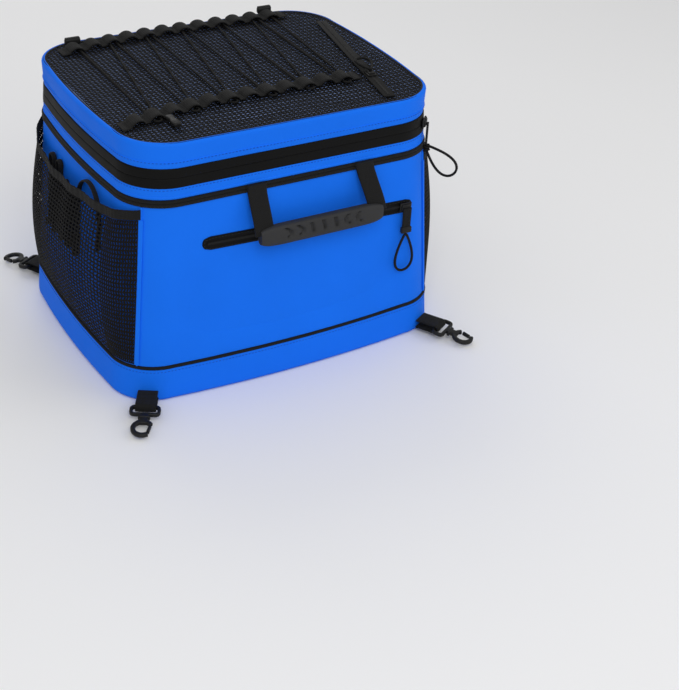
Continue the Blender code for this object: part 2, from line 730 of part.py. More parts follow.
def make_lid_pull():
    """The main zip's slider at the front right corner, its tab and its cord loop."""
    half_w, half_d = half_sizes(SPLIT_Z)
    centre = Vector((half_w - CORNER_RADIUS, CORNER_RADIUS - half_d, SPLIT_Z))
    turn = math.radians(LID_SLIDER_DEGREES)
    outward = Vector((math.cos(turn), math.sin(turn), 0.0))
    along = Vector((-math.sin(turn), math.cos(turn), 0.0))
    seat = CORNER_RADIUS + ZIP_PROUD + GAP
    place = frame_matrix(centre + outward * (seat + SLIDER_THICK / 2), along, outward)
    slider = make_slider("lid_zip_slider", place)
    slider.data.transform(Matrix.Translation(slider.location - centre))
    slider.location = centre
    hinge = centre + outward * (seat + SLIDER_THICK + GAP + TAB_THICK / 2)
    down = Vector((0.0, 0.0, -1.0))
    tab = frame_matrix(hinge + down * LID_TAB_LENGTH / 2, along, outward)
    size = (LID_TAB_WIDTH, LID_TAB_LENGTH, TAB_THICK)
    block("lid_pull_tab", size, tab, "webbing", TAB_THICK / 4, hinge)
    lean = math.radians(LID_LOOP_LEAN)
    fall = down * math.cos(lean) + outward * math.sin(lean)
    top = hinge + down * (LID_TAB_LENGTH + GAP + PULL_CORD / 2 + LID_LOOP_DROP)
    side = outward * math.cos(lean) - down * math.sin(lean)
    path = [top - fall * y + side * x for x, y in pull_loop(LID_LOOP_LENGTH, LID_LOOP_WIDTH)]
    tube("lid_pull_loop", path, PULL_CORD / 2, "cord", True, hinge)


def make_pocket_pull():
    """The front pocket's slider, its tab, ferrule and cord loop."""
    x = POCKET_ZIP_RIGHT - POCKET_SLIDER_INSET
    z = pocket_zip_z(x)
    zip_top = GAP + ZIP_TAPE + GAP
    drop = POCKET_ZIP_Z_RIGHT - POCKET_ZIP_Z_LEFT
    along = Vector((POCKET_ZIP_RIGHT - POCKET_ZIP_LEFT, 0.0, drop)).normalized()
    forward = Vector((0.0, -1.0, 0.0))
    back = front_y(0.0, z - SLIDER_WIDTH / 2)
    place = frame_matrix(Vector((x, back - zip_top - SLIDER_THICK / 2, z)), along, forward)
    make_slider("pocket_zip_slider", place)
    hinge = Vector((x, back - zip_top - SLIDER_THICK - GAP - TAB_THICK / 2, z))
    right = Vector((1.0, 0.0, 0.0))
    down = Vector((0.0, 0.0, -1.0))
    size = (POCKET_TAB_WIDTH, POCKET_TAB_LENGTH, TAB_THICK)
    tab = frame_matrix(hinge + down * POCKET_TAB_LENGTH / 2, right, forward)
    block("pocket_pull_tab", size, tab, "webbing", TAB_THICK / 4, hinge)
    low = POCKET_TAB_LENGTH + GAP
    ferrule = Matrix.Translation(hinge + down * (low + FERRULE_SIZE[2] / 2))
    block("pocket_pull_ferrule", FERRULE_SIZE, ferrule, "plastic", TAB_THICK / 3, hinge)
    top = hinge + down * (low + FERRULE_SIZE[2] + GAP + PULL_CORD / 2)
    path = [top - down * y + right * x_off for x_off, y in pull_loop(POCKET_LOOP_LENGTH, POCKET_LOOP_WIDTH)]
    tube("pocket_pull_loop", path, PULL_CORD / 2, "cord", True, hinge)


def make_mesh_zip():
    """The zip of the lid's mesh pocket, with its slider and cord pull."""
    along = (MESH_ZIP_REAR - MESH_ZIP_FRONT).normalized()
    up = Vector((0.0, 0.0, 1.0))
    middle = (MESH_ZIP_REAR + MESH_ZIP_FRONT) / 2 + up * (RIG_Z + ZIP_TAPE / 2)
    size = ((MESH_ZIP_REAR - MESH_ZIP_FRONT).length, MESH_ZIP_WIDTH, ZIP_TAPE)
    block("mesh_zip_tape", size, frame_matrix(middle, along, up), "zip", ZIP_TAPE / 4, lid_pivot())
    top = RIG_Z + ZIP_TAPE + GAP
    foot = MESH_ZIP_FRONT + along * MESH_SLIDER_INSET
    make_slider("mesh_zip_slider", frame_matrix(foot + up * (top + SLIDER_THICK / 2), along, up))
    hinge = foot + up * (top + SLIDER_THICK + GAP + PULL_CORD / 2)
    across = along.cross(up)
    path = [hinge + across * x - along * y for x, y in pull_loop(MESH_LOOP_LENGTH, MESH_LOOP_WIDTH)]
    tube("mesh_pull_loop", path, PULL_CORD / 2, "cord", True, hinge)


def make_handle(name, facing):
    """Two webbing straps and a moulded grip on the front (-1) or the rear (1)."""
    wall = half_sizes(GRIP_Z)[1]
    top_wall = half_sizes(SHELL_TOP)[1] + TRIM_PROUD
    hinge_y = facing * (top_wall + GAP + HANDLE_STRAP_THICK / 2)
    hinge = Vector((0.0, hinge_y, TRIM_TOP if facing < 0 else SHELL_TOP))
    grip_y = facing * (wall + GRIP_STANDOFF + GRIP_THICK / 2)
    shift = HANDLE_SHIFT if facing < 0 else 0.0
    leans = GRIP_LEAN if facing < 0 else (0.0, 0.0)
    low = GRIP_Z + GRIP_HEIGHT / 2 + GAP
    for side, sign, lean in (("left", facing, leans[0]), ("right", -facing, leans[1])):
        x_top = shift + sign * HANDLE_STRAP_SPACING / 2
        path = []
        for step in range(7):
            share = step / 6
            ease = share * share * (3.0 - 2.0 * share)
            y = hinge_y + (grip_y - hinge_y) * ease
            path.append((x_top + lean * share, y, hinge.z + (low - hinge.z) * share))
        ribbon(name + "_strap_" + side, path, (1.0, 0.0, 0.0), HANDLE_STRAP_WIDTH, HANDLE_STRAP_THICK,
               "webbing", hinge)
    loops = []
    for station in range(GRIP_STATIONS):
        along = 2.0 * station / (GRIP_STATIONS - 1) - 1.0
        full = (1.0 - abs(along) ** 10 * 0.35) / 2
        x = shift + sum(leans) / 2 + along * GRIP_LENGTH / 2
        loop = []
        for turn in range(12):
            angle = 2.0 * math.pi * turn / 12
            cos, sin = math.cos(angle), math.sin(angle)
            y = grip_y + GRIP_THICK * full * math.copysign(abs(cos) ** 0.6, cos)
            z = GRIP_Z + GRIP_HEIGHT * full * math.copysign(abs(sin) ** 0.6, sin)
            loop.append(Vector((x, y, z)))
        loops.append(loop)
    add_object(name + "_grip", loft(name + "_grip", loops), "grip", hinge)


def hook_outlines():
    """Outer edge and webbing slot of a tie-down hook, along +X from its bar."""
    slot_long, slot_wide = HOOK_SLOT
    half_wide = slot_wide / 2 + HOOK_FRAME
    eye_end = HOOK_BAR + slot_long + HOOK_FRAME
    shank, shank_length = HOOK_SHANK
    shank_end = eye_end + shank_length
    centre = (shank_end + HOOK_RING_INNER, 0.0)
    first, last = HOOK_MOUTH_DEGREES
    ring_start = 180.0 + math.degrees(math.asin(shank / 2 / HOOK_RING_OUTER))
    outer = [(0.0, half_wide), (0.0, -half_wide), (eye_end, -half_wide), (eye_end, -shank / 2)]
    outer += arc(centre, HOOK_RING_OUTER, ring_start, 360.0 + first, 14)
    outer += arc(centre, HOOK_RING_INNER, 360.0 + first, last, 14)
    outer += arc(centre, HOOK_RING_OUTER, last, 360.0 - ring_start, 3)
    outer += [(eye_end, shank / 2), (eye_end, half_wide)]
    slot = [
        (HOOK_BAR, slot_wide / 2),
        (HOOK_BAR + slot_long, slot_wide / 2),
        (HOOK_BAR + slot_long, -slot_wide / 2),
        (HOOK_BAR, -slot_wide / 2),
    ]
    return outer, slot, centre


def make_tie_down(name, sign_x, sign_y):
    """A webbing tab at one base corner, with its hook and the hook's gate."""
    half_w, half_d = half_sizes(TIE_BAR_Z)
    turn = math.radians(TIE_DEGREES)
    outward = Vector((sign_x * math.cos(turn), sign_y * math.sin(turn), 0.0))
    across = Vector((0.0, 0.0, 1.0)).cross(outward)
    root = Vector((sign_x * (half_w - CORNER_RADIUS), sign_y * (half_d - CORNER_RADIUS), TIE_BAR_Z))
    root += outward * (CORNER_RADIUS + BASE_PROUD + GAP)
    bar = root + outward * TAB_LENGTH
    wrap = math.hypot(HOOK_PLATE, HOOK_BAR) / 2 + GAP + WEBBING / 2
    path = [root + Vector((0.0, 0.0, wrap))]
    for step in range(9):
        bend = math.radians(90.0 - 180.0 * step / 8)
        path.append(bar + outward * wrap * math.cos(bend) + Vector((0.0, 0.0, wrap * math.sin(bend))))
    path.append(root - Vector((0.0, 0.0, wrap)))
    ribbon("tie_tab_" + name, path, across, TIE_TAB_WIDTH, WEBBING, "webbing", root)

    outer, slot, centre = hook_outlines()
    dip = math.radians(HOOK_DIP_DEGREES)
    reach = outward * math.cos(dip) - Vector((0.0, 0.0, math.sin(dip)))
    normal = reach.cross(across)
    place = frame_matrix(bar, reach, normal) @ Matrix.Translation((-HOOK_BAR / 2, 0.0, 0.0))
    plate("tie_hook_" + name, [outer, slot], HOOK_PLATE, place, "plastic", bar)

    first, last = HOOK_MOUTH_DEGREES
    middle = (HOOK_RING_INNER + HOOK_RING_OUTER) / 2
    start = Vector(arc(centre, middle, last, last, 1)[0])
    end = Vector(arc(centre, middle, first, first, 1)[0])
    direction = (end - start).normalized()
    aside = Vector((-direction.y, direction.x)) * GATE_THICK / 2
    clear = math.sin(math.radians((last - first) / 2)) * (HOOK_RING_OUTER - HOOK_RING_INNER) / 2 + GAP + GATE_PLAY
    start += direction * clear
    end -= direction * clear
    outline = [start - aside, end - aside, end + aside, start + aside]
    pivot = place @ Vector((*start, 0.0))
    plate("tie_gate_" + name, [outline], HOOK_PLATE, place, "plastic", pivot)


def make_tie_downs():
    """Tie-downs at the four base corners."""
    for name, sign_x, sign_y in (("front_left", -1, -1), ("front_right", 1, -1),
                                 ("rear_left", -1, 1), ("rear_right", 1, 1)):
        make_tie_down(name, sign_x, sign_y)


LOOKS = {
    "blue": ((0.016, 0.156, 0.831), 0.42),
    "trim": ((0.012, 0.012, 0.012), 0.70),
    "zip": ((0.010, 0.010, 0.010), 0.45),
    "webbing": ((0.012, 0.012, 0.012), 0.80),
    "cord": ((0.012, 0.012, 0.012), 0.75),
    "mesh": ((0.014, 0.014, 0.016), 0.85),
    "plastic": ((0.014, 0.014, 0.014), 0.35),
    "grip": ((0.045, 0.045, 0.042), 0.60),
    "foam": ((0.80, 0.80, 0.76), 0.90),
    "liner": ((0.62, 0.64, 0.66), 0.40),
}


def main():
    """Build every piece of the bag."""
    clear_scene()
    parts = bpy.data.collections.new(PARTS)
    bpy.context.scene.collection.children.link(parts)
    make_base()
    make_body()
    make_front_pocket()
    make_side_pockets()
    make_shoulder_strap()
    make_lid()
    make_lid_rigging()
    make_mesh_zip()
    make_lid_pull()
    make_pocket_pull()
    make_handle("front_handle", -1)
    make_handle("rear_handle", 1)
    make_tie_downs()


main()
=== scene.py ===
"""Looks of the insulated deck bag: every visible surface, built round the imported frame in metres.

The bag stands on z = 0 with its front towards -Y. Heights come from the frame's own nodes, hinges from its
joints, and the rounded outline that all bands share is worked out from the same few sizes as the solids.
"""

import json
import logging
import math
from dataclasses import dataclass, field
from enum import Enum, StrEnum
from typing import Callable, Iterable, Sequence

import bmesh
import bpy
from mathutils import Matrix, Vector, noise


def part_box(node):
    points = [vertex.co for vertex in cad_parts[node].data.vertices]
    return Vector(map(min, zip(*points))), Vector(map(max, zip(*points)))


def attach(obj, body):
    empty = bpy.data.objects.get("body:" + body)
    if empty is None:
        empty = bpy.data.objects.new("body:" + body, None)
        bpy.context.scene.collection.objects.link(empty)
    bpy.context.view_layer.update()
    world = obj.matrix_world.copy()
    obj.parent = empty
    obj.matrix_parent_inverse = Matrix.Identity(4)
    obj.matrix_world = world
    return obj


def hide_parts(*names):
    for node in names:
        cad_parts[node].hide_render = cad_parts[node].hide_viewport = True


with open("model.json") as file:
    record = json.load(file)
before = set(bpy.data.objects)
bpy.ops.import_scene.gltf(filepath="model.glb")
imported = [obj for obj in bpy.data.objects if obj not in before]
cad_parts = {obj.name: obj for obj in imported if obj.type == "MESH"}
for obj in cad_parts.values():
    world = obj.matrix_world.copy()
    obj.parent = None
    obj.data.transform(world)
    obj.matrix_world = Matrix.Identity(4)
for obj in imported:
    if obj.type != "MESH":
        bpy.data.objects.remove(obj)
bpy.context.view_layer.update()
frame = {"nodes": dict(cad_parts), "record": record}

LOG = logging.getLogger("deck_bag")
ACROSS = Vector((1.0, 0.0, 0.0))
REARWARD = Vector((0.0, 1.0, 0.0))
UP = Vector((0.0, 0.0, 1.0))
ROUND_CREASE = 60.0
MOULD_CREASE = 50.0
SKIN = 0.0018
GAP = 0.0003
WEBBING_THICK = 0.0016
ZIP_PROUD = 0.0008
IMAGE_SIZE = (679, 690)

Ring = list[Vector]
Socket = bpy.types.NodeSocket
Patterns = tuple[Socket, Socket, list[tuple[Socket, float]]]
Profile = Sequence[tuple[float, float]]


class Facing(Enum):
    """The bag's front and rear, with the sign of Y that each has."""

    FRONT = -1
    REAR = 1


class Side(Enum):
    """The bag's left and right, with the sign of X that each has."""

    LEFT = -1
    RIGHT = 1


class Body(StrEnum):
    """Bodies that carry several sub-assemblies."""

    BAG = "bag"
    LID = "lid"


def node_span(node: str) -> tuple[float, float]:
    """Lowest and highest z of a CAD node."""
    low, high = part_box(node)
    return low[2], high[2]


@dataclass(frozen=True)
class NodeBox:
    """Box of a CAD node."""

    low: Vector
    high: Vector

    @classmethod
    def of(cls, node: str) -> "NodeBox":
        """The box of a node, by its name."""
        return cls(*(Vector(corner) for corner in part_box(node)))

    @property
    def size(self) -> Vector:
        """Size along the three directions."""
        return self.high - self.low

    @property
    def middle(self) -> Vector:
        """Middle of the box."""
        return (self.low + self.high) / 2


def joint(name: str) -> dict:
    """A joint of the record, by its name."""
    return next(j for j in frame["record"]["behaviour"]["joints"] if j["name"] == name)


def joint_place(name: str) -> Vector:
    """Place of a joint, in the shared frame."""
    return Vector(joint(name)["pos_m"])


def joint_axis(name: str) -> Vector:
    """Direction of a joint."""
    return Vector(joint(name)["axis"]).normalized()


def spread(first: float, last: float, count: int) -> list[float]:
    """Values in even steps from the first to the last, both included."""
    return [first + (last - first) * i / count for i in range(count + 1)]


def ease(share: float) -> float:
    """A share from 0 to 1, eased at both ends."""
    return share * share * (3.0 - 2.0 * share)


def shift(x: float, y: float, z: float) -> Matrix:
    """A move by three measures."""
    return Matrix.Translation((x, y, z))


class ShaderGraph:
    """A node material under construction, with short calls to add and link nodes."""

    def __init__(self, name: str) -> None:
        """Start a material with a Principled BSDF."""
        self.material = bpy.data.materials.new(name)
        self.material.use_nodes = True
        self.tree = self.material.node_tree
        self.shader = self.tree.nodes["Principled BSDF"]

    def add(self, kind: str, links: dict[str, Socket] | None = None, **values: object) -> bpy.types.Node:
        """Add a node.

        Args:
            kind: The node's type name, without its ShaderNode prefix.
            links: Sockets that feed the node's inputs, by input name.
            values: Settings of the node, or values of its inputs, by name with _ for a space.

        Returns:
            The new node.
        """
        node = self.tree.nodes.new("ShaderNode" + kind)
        for key, value in values.items():
            if hasattr(node, key):
                setattr(node, key, value)
            else:
                node.inputs[key.replace("_", " ")].default_value = value
        for key, socket in (links or {}).items():
            self.tree.links.new(socket, node.inputs[key])
        return node

    def coordinates(self, space: str, scale: Sequence[float], turn: float = 0.0) -> Socket:
        """A scaled and turned pattern space.

        Args:
            space: Object or UV.
            scale: Repeats to the metre along the three directions.
            turn: Turn about the third direction, in degrees.

        Returns:
            The vector socket of the pattern space.
        """
        source = self.add("TexCoord").outputs[space]
        mapping = self.add("Mapping", {"Vector": source})
        mapping.inputs["Scale"].default_value = scale
        mapping.inputs["Rotation"].default_value = (0.0, 0.0, math.radians(turn))
        return mapping.outputs["Vector"]

    def wave(self, space: str, repeats: float, turn: float, scale: float, bands: str = "X") -> Socket:
        """Even waves across a pattern space, from 0 to 1."""
        place = self.coordinates(space, (repeats,) * 3, turn)
        return self.add("TexWave", {"Vector": place}, Scale=scale, bands_direction=bands).outputs["Fac"]

    def noise(self, scale: float, detail: float = 3.0) -> Socket:
        """Noise over Object coordinates, from 0 to 1."""
        place = self.add("TexCoord").outputs["Object"]
        return self.add("TexNoise", {"Vector": place}, Scale=scale, Detail=detail).outputs["Fac"]

    def ramp(self, value: Socket, low: float, high: float) -> Socket:
        """The value from 0 to 1 brought to a range."""
        node = self.add("MapRange", {"Value": value})
        node.inputs["To Min"].default_value = low
        node.inputs["To Max"].default_value = high
        return node.outputs["Result"]

    def shade(self, colour: Sequence[float], value: Socket, low: float, high: float) -> None:
        """Vary the base colour in brightness.

        Args:
            colour: Linear colour as written.
            value: Pattern from 0 to 1.
            low: Brightness where the pattern is 0.
            high: Brightness where the pattern is 1.
        """
        mix = self.add("Mix", data_type="RGBA")
        mix.inputs[6].default_value = (*[c * low for c in colour], 1.0)
        mix.inputs[7].default_value = (*[min(c * high, 1.0) for c in colour], 1.0)
        self.tree.links.new(value, mix.inputs["Factor"])
        self.tree.links.new(mix.outputs[2], self.shader.inputs["Base Color"])

    def rough(self, value: Socket, low: float, high: float) -> None:
        """Vary the roughness over a pattern."""
        self.tree.links.new(self.ramp(value, low, high), self.shader.inputs["Roughness"])

    def bump(self, heights: Iterable[tuple[Socket, float]], reach: float = 0.001) -> None:
        """Raise the surface by patterns, one bump after the other.

        Args:
            heights: Each pattern with its strength.
            reach: Height in metres that a pattern's 0 to 1 stands for.
        """
        normal = None
        for height, strength in heights:
            links = {"Height": height}
            if normal is not None:
                links["Normal"] = normal
            normal = self.add("Bump", links, Strength=strength, Distance=reach).outputs["Normal"]
        self.tree.links.new(normal, self.shader.inputs["Normal"])


@dataclass(frozen=True)
class Finish:
    """A plain grained finish, made once as a material and shared by its pieces.

    The kinds below it change the patterns, and how strongly they show in the colour, gloss and surface.
    """

    name: str
    slot: str
    colour: tuple[float, float, float]
    roughness: float
    shades: tuple[float, float] = (0.90, 1.12)
    gloss: tuple[float, float] = (-0.05, 0.05)
    relief: float = 0.0003
    specular: float = 0.15
    sheen: float = 0.0

    def material(self) -> bpy.types.Material:
        """The finish's material, made at its first use."""
        found = bpy.data.materials.get(self.name)
        if found:
            return found
        graph = ShaderGraph(self.name)
        graph.shader.inputs["Base Color"].default_value = (*self.colour, 1.0)
        tint, film, bumps = self.patterns(graph)
        graph.shade(self.colour, tint, *self.shades)
        graph.rough(film, *(self.roughness + change for change in self.gloss))
        graph.bump(bumps, self.relief)
        graph.shader.inputs["Specular IOR Level"].default_value = self.specular
        graph.shader.inputs["Sheen Weight"].default_value = self.sheen
        return graph.material

    def patterns(self, graph: ShaderGraph) -> Patterns:
        """Patterns of the colour and of the gloss, and the bumps with their strengths."""
        grain = graph.noise(420.0)
        return grain, grain, [(grain, 0.12)]


@dataclass(frozen=True)
class CoatedCloth(Finish):
    """Coated bag cloth: a fine plain weave that shows through a satin film, with faint cloudiness."""

    threads: float = 1500.0
    shades: tuple[float, float] = (0.94, 1.06)
    gloss: tuple[float, float] = (-0.07, 0.09)
    relief: float = 0.0004
    specular: float = 0.05

    def patterns(self, graph: ShaderGraph) -> Patterns:
        """Fine threads in two directions, soft creases and a film of uneven gloss."""
        warp, weft = (graph.wave("UV", self.threads, 0.0, 0.32, bands) for bands in "XY")
        crease = graph.noise(55.0, 5.0)
        return graph.noise(16.0, 4.0), crease, [(warp, 0.05), (weft, 0.05), (crease, 0.10)]


@dataclass(frozen=True)
class Webbing(Finish):
    """Woven webbing: rows of slanted stitches across the strap, matte with a little sheen."""

    rows: float = 620.0
    slant: float = 24.0
    shades: tuple[float, float] = (0.70, 1.60)
    gloss: tuple[float, float] = (-0.08, 0.08)
    relief: float = 0.0006
    specular: float = 0.16
    sheen: float = 0.03

    def patterns(self, graph: ShaderGraph) -> Patterns:
        """Ribs along the strap crossed by slanted rows."""
        rows = graph.wave("UV", self.rows, self.slant, 0.30)
        ribs = graph.wave("UV", self.rows, 0.0, 0.22, "Y")
        dust = graph.noise(900.0, 2.0)
        return rows, dust, [(rows, 0.45), (ribs, 0.35), (dust, 0.08)]


@dataclass(frozen=True)
class CordBraid(Finish):
    """Braided cord: two sets of strands that wind round it and cross."""

    strands: float = 900.0
    wind: float = 52.0
    shades: tuple[float, float] = (0.70, 1.70)
    gloss: tuple[float, float] = (-0.08, 0.06)
    relief: float = 0.0004
    specular: float = 0.16

    def patterns(self, graph: ShaderGraph) -> Patterns:
        """Crossing diagonal strands."""
        over, under = (graph.wave("UV", self.strands, turn, 0.30) for turn in (self.wind, -self.wind))
        return over, under, [(over, 0.4), (under, 0.4)]


@dataclass(frozen=True)
class ZipTape(Finish):
    """Film-faced zip tape: smooth and satin."""

    shades: tuple[float, float] = (0.85, 1.25)
    gloss: tuple[float, float] = (-0.06, 0.10)
    specular: float = 0.09

    def patterns(self, graph: ShaderGraph) -> Patterns:
        """A faint diagonal emboss under a satin film."""
        smear = graph.noise(40.0, 4.0)
        return smear, smear, [(graph.wave("UV", 1400.0, 45.0, 0.3), 0.08), (smear, 0.06)]


@dataclass(frozen=True)
class Moulded(Finish):
    """Moulded plastic or rubber with a fine eroded grain."""

    grain: float = 1300.0
    depth: float = 0.10
    shades: tuple[float, float] = (0.85, 1.25)
    gloss: tuple[float, float] = (-0.06, 0.10)
    specular: float = 0.25

    def patterns(self, graph: ShaderGraph) -> Patterns:
        """Eroded grain and handling marks."""
        marks = graph.noise(60.0, 5.0)
        return marks, marks, [(graph.noise(self.grain, 2.0), self.depth)]


@dataclass(frozen=True)
class FoilLiner(Finish):
    """Welded liner film with a shallow quilted emboss."""

    shades: tuple[float, float] = (0.92, 1.05)
    gloss: tuple[float, float] = (-0.08, 0.08)
    relief: float = 0.0010
    specular: float = 0.5

    def patterns(self, graph: ShaderGraph) -> Patterns:
        """Two crossing rows of shallow ribs on a satin film."""
        cloud = graph.noise(20.0, 4.0)
        return cloud, cloud, [(graph.wave("Object", 90.0, turn, 0.5), 0.15) for turn in (45.0, -45.0)]


@dataclass(frozen=True)
class Paper(Finish):
    """Plain studio paper."""

    shades: tuple[float, float] = (0.985, 1.01)
    gloss: tuple[float, float] = (-0.03, 0.03)
    relief: float = 0.0002
    specular: float = 0.5

    def patterns(self, graph: ShaderGraph) -> Patterns:
        """A faint tooth, and a trace of cloudiness."""
        tooth = graph.noise(260.0, 2.0)
        return graph.noise(1.5, 2.0), tooth, [(tooth, 0.02)]


BLUE = CoatedCloth("coated_blue_cloth", "coated_blue", (0.009, 0.168, 0.900), 0.56)
# The lid panel's colour is painted light: a paler blue than the bag's own cloth, so that the net's holes look
# bright where the net shades the panel.
LID_PANEL_PAINTED_LIGHT = CoatedCloth("lid_panel_cloth", "coated_blue", (0.360, 0.500, 0.920), 0.55)
BLUE_THREAD = Finish("blue_thread", "coated_blue", (0.010, 0.085, 0.48), 0.70)
BLACK_THREAD = Finish("black_thread", "binding", (0.022, 0.022, 0.022), 0.65)
BINDING = Webbing("binding_tape", "binding", (0.0075, 0.0075, 0.0075), 0.74, rows=900.0, slant=0.0)
ELASTIC = Webbing("elastic_hem", "binding", (0.0075, 0.0075, 0.0075), 0.80, rows=800.0, slant=60.0)
ZIP = ZipTape("zip_tape_film", "zip_tape", (0.0045, 0.0045, 0.0045), 0.52)
TEETH = Moulded("zip_teeth", "zip_tape", (0.009, 0.009, 0.009), 0.45)
STRAP = Webbing("strap_webbing", "webbing", (0.0080, 0.0080, 0.0080), 0.80)
CORD = CordBraid("cord_braid", "cord", (0.0075, 0.0075, 0.0075), 0.74)
NET = Finish("net_yarn", "mesh", (0.0050, 0.0050, 0.0055), 0.80)
PLASTIC = Moulded("moulded_black", "hardware", (0.0095, 0.0095, 0.0095), 0.42)
GRIP = Moulded("grip_rubber", "grip", (0.028, 0.028, 0.029), 0.62, grain=1700.0, depth=0.16)
LINER = FoilLiner("liner_film", "liner", (0.62, 0.64, 0.66), 0.38)
FLOOR = Paper("floor_paper", "foam", (0.92, 0.92, 0.925), 0.88)
FOAM = Moulded("closed_cell_foam", "foam", (0.80, 0.80, 0.76), 0.88, grain=500.0, depth=0.2)


class Maker:
    """Mesh tools that the sub-assemblies share."""

    @staticmethod
    def skin(rings: Sequence[Ring], closed: bool = False, capped: bool = False) -> bmesh.types.BMesh:
        """A surface through rings of points, grown ring by ring from a circle.

        Args:
            rings: Rings of the same number of points.
            closed: Join the last ring to the first.
            capped: Fill the first and the last ring.

        Returns:
            The surface, with a UV map in metres round the rings and along them.
        """
        bm = bmesh.new()
        seat = bm.verts.layers.int.new("seat")
        row = bm.verts.layers.int.new("row")
        verts = bmesh.ops.create_circle(bm, segments=len(rings[0]), radius=1.0)["verts"]
        for i, vert in enumerate(verts):
            vert[seat] = i
            vert.co = rings[0][i]
        first = edges = list(bm.edges)
        for r, ring in enumerate(rings[1:], 1):
            grown = bmesh.ops.extrude_edge_only(bm, edges=edges)["geom"]
            fresh = {g for g in grown if isinstance(g, bmesh.types.BMVert)}
            for vert in fresh:
                vert[row] = r
                vert.co = ring[vert[seat]]
            edges = [g for g in grown if isinstance(g, bmesh.types.BMEdge) and set(g.verts) <= fresh]
        if closed:
            bmesh.ops.bridge_loops(bm, edges=first + edges)
        Maker.unwrap(bm, rings)
        if capped and not closed:
            bmesh.ops.edgeloop_fill(bm, edges=first)
            bmesh.ops.edgeloop_fill(bm, edges=edges)
        return bm

    @staticmethod
    def unwrap(bm: bmesh.types.BMesh, rings: Sequence[Ring]) -> None:
        """Give a skinned surface its UV map, in metres.

        Args:
            bm: The surface, with its seat and row numbers.
            rings: The rings it was grown from.
        """
        seat = bm.verts.layers.int["seat"]
        row = bm.verts.layers.int["row"]
        layer = bm.loops.layers.uv.new("UVMap")
        round_it = Maker.distances(max(rings, key=len), True)
        along = Maker.distances([ring[0] for ring in rings], True)
        for face in bm.faces:
            seats = [loop.vert[seat] for loop in face.loops]
            rows = [loop.vert[row] for loop in face.loops]
            for loop, s, r in zip(face.loops, seats, rows):
                s = len(round_it) - 1 if s == 0 and max(seats) > 1 else s
                r = len(along) - 1 if r == 0 and max(rows) > 1 else r
                loop[layer].uv = (round_it[s], along[r])

    @staticmethod
    def distances(points: Sequence[Vector], cyclic: bool = False) -> list[float]:
        """Running length along a path, starting at 0, with the closing stretch if it is cyclic."""
        run = [0.0]
        for a, b in zip(points, list(points[1:]) + ([points[0]] if cyclic else [])):
            run.append(run[-1] + (b - a).length)
        return run

    @staticmethod
    def even(points: Sequence[Vector], pitch: float, cyclic: bool = False) -> list[tuple[Vector, Vector]]:
        """Points spaced evenly along a path.

        Args:
            points: The path.
            pitch: Spacing, in metres.
            cyclic: The path is closed.

        Returns:
            Each place with the direction of the path there.
        """
        path = list(points) + ([points[0]] if cyclic else [])
        run = Maker.distances(path)
        count = max(int(run[-1] / pitch), 1)
        spots = []
        leg = 0
        for i in range(count):
            goal = run[-1] * (i + 0.5) / count
            while run[leg + 1] < goal:
                leg += 1
            way = path[leg + 1] - path[leg]
            spots.append((path[leg] + way.normalized() * (goal - run[leg]), way.normalized()))
        return spots

    @staticmethod
    def tube(path: Sequence[Vector], radius: float, cyclic: bool = False,
             segments: int = 10) -> bmesh.types.BMesh:
        """A round cord along a path."""
        section = [(math.cos(a), math.sin(a)) for a in Maker.turns(segments)]
        return Maker.bar(path, [(x * radius, y * radius) for x, y in section], None, cyclic)

    @staticmethod
    def turns(count: int) -> list[float]:
        """Angles of a full turn, in even steps."""
        return [2.0 * math.pi * i / count for i in range(count)]

    @staticmethod
    def squircle(count: int, power: float) -> list[tuple[float, float]]:
        """Points of a square with round corners, of half size 1: the lower the power, the squarer."""
        return [tuple(math.copysign(abs(reach) ** power, reach) for reach in (math.cos(a), math.sin(a)))
                for a in Maker.turns(count)]

    @staticmethod
    def bar(path: Sequence[Vector], section: Sequence[tuple[float, float]], across: Vector | None = None,
            cyclic: bool = False) -> bmesh.types.BMesh:
        """A bar of one section along a path.

        Args:
            path: The bar's middle line.
            section: Points of the section, across the bar and out of its flat side.
            across: Direction of the section's first measure, or none for a section that is free to turn.
            cyclic: The bar is a closed loop.

        Returns:
            The bar, capped if it has ends.
        """
        count = len(path)
        rings = []
        side = across
        for i, point in enumerate(path):
            before = path[i - 1] if cyclic else path[max(i - 1, 0)]
            after = path[(i + 1) % count] if cyclic else path[min(i + 1, count - 1)]
            way = (after - before).normalized()
            if across is None:
                guess = side if side is not None else way.orthogonal()
                side = (guess - way * guess.dot(way)).normalized()
            lift = side.cross(way).normalized()
            rings.append([point + side * a + lift * b for a, b in section])
        return Maker.skin(rings, cyclic, not cyclic)

    @staticmethod
    def strap_section(width: float, thick: float, steps: int = 6) -> list[tuple[float, float]]:
        """Section of a strap: flat, with rounded edges.

        Args:
            width: Width of the strap.
            thick: Thickness of the strap.
            steps: Steps across each flat side.

        Returns:
            The section's points.
        """
        half, flat = thick / 2, width / 2 - thick / 2
        points = []
        for sign in (1.0, -1.0):
            points += [(x, -sign * half) for x in spread(-sign * flat, sign * flat, steps)]
            points.append((sign * (flat + half * 0.8), -sign * half * 0.5))
            points.append((sign * (flat + half * 0.8), sign * half * 0.5))
        return points

    @staticmethod
    def block(size: Sequence[float], edge: float, place: Matrix, segments: int = 3) -> bmesh.types.BMesh:
        """A block with rounded edges.

        Args:
            size: Size along the three directions.
            edge: Rounding of the edges.
            place: Where the block goes.
            segments: Steps of the rounding.

        Returns:
            The block.
        """
        bm = bmesh.new()
        bmesh.ops.create_cube(bm, size=1.0)
        bmesh.ops.scale(bm, vec=size, verts=bm.verts)
        bmesh.ops.bevel(bm, geom=bm.edges, offset=edge, segments=segments, profile=0.5, affect="EDGES",
                        material=-1)
        bm.transform(place)
        return bm

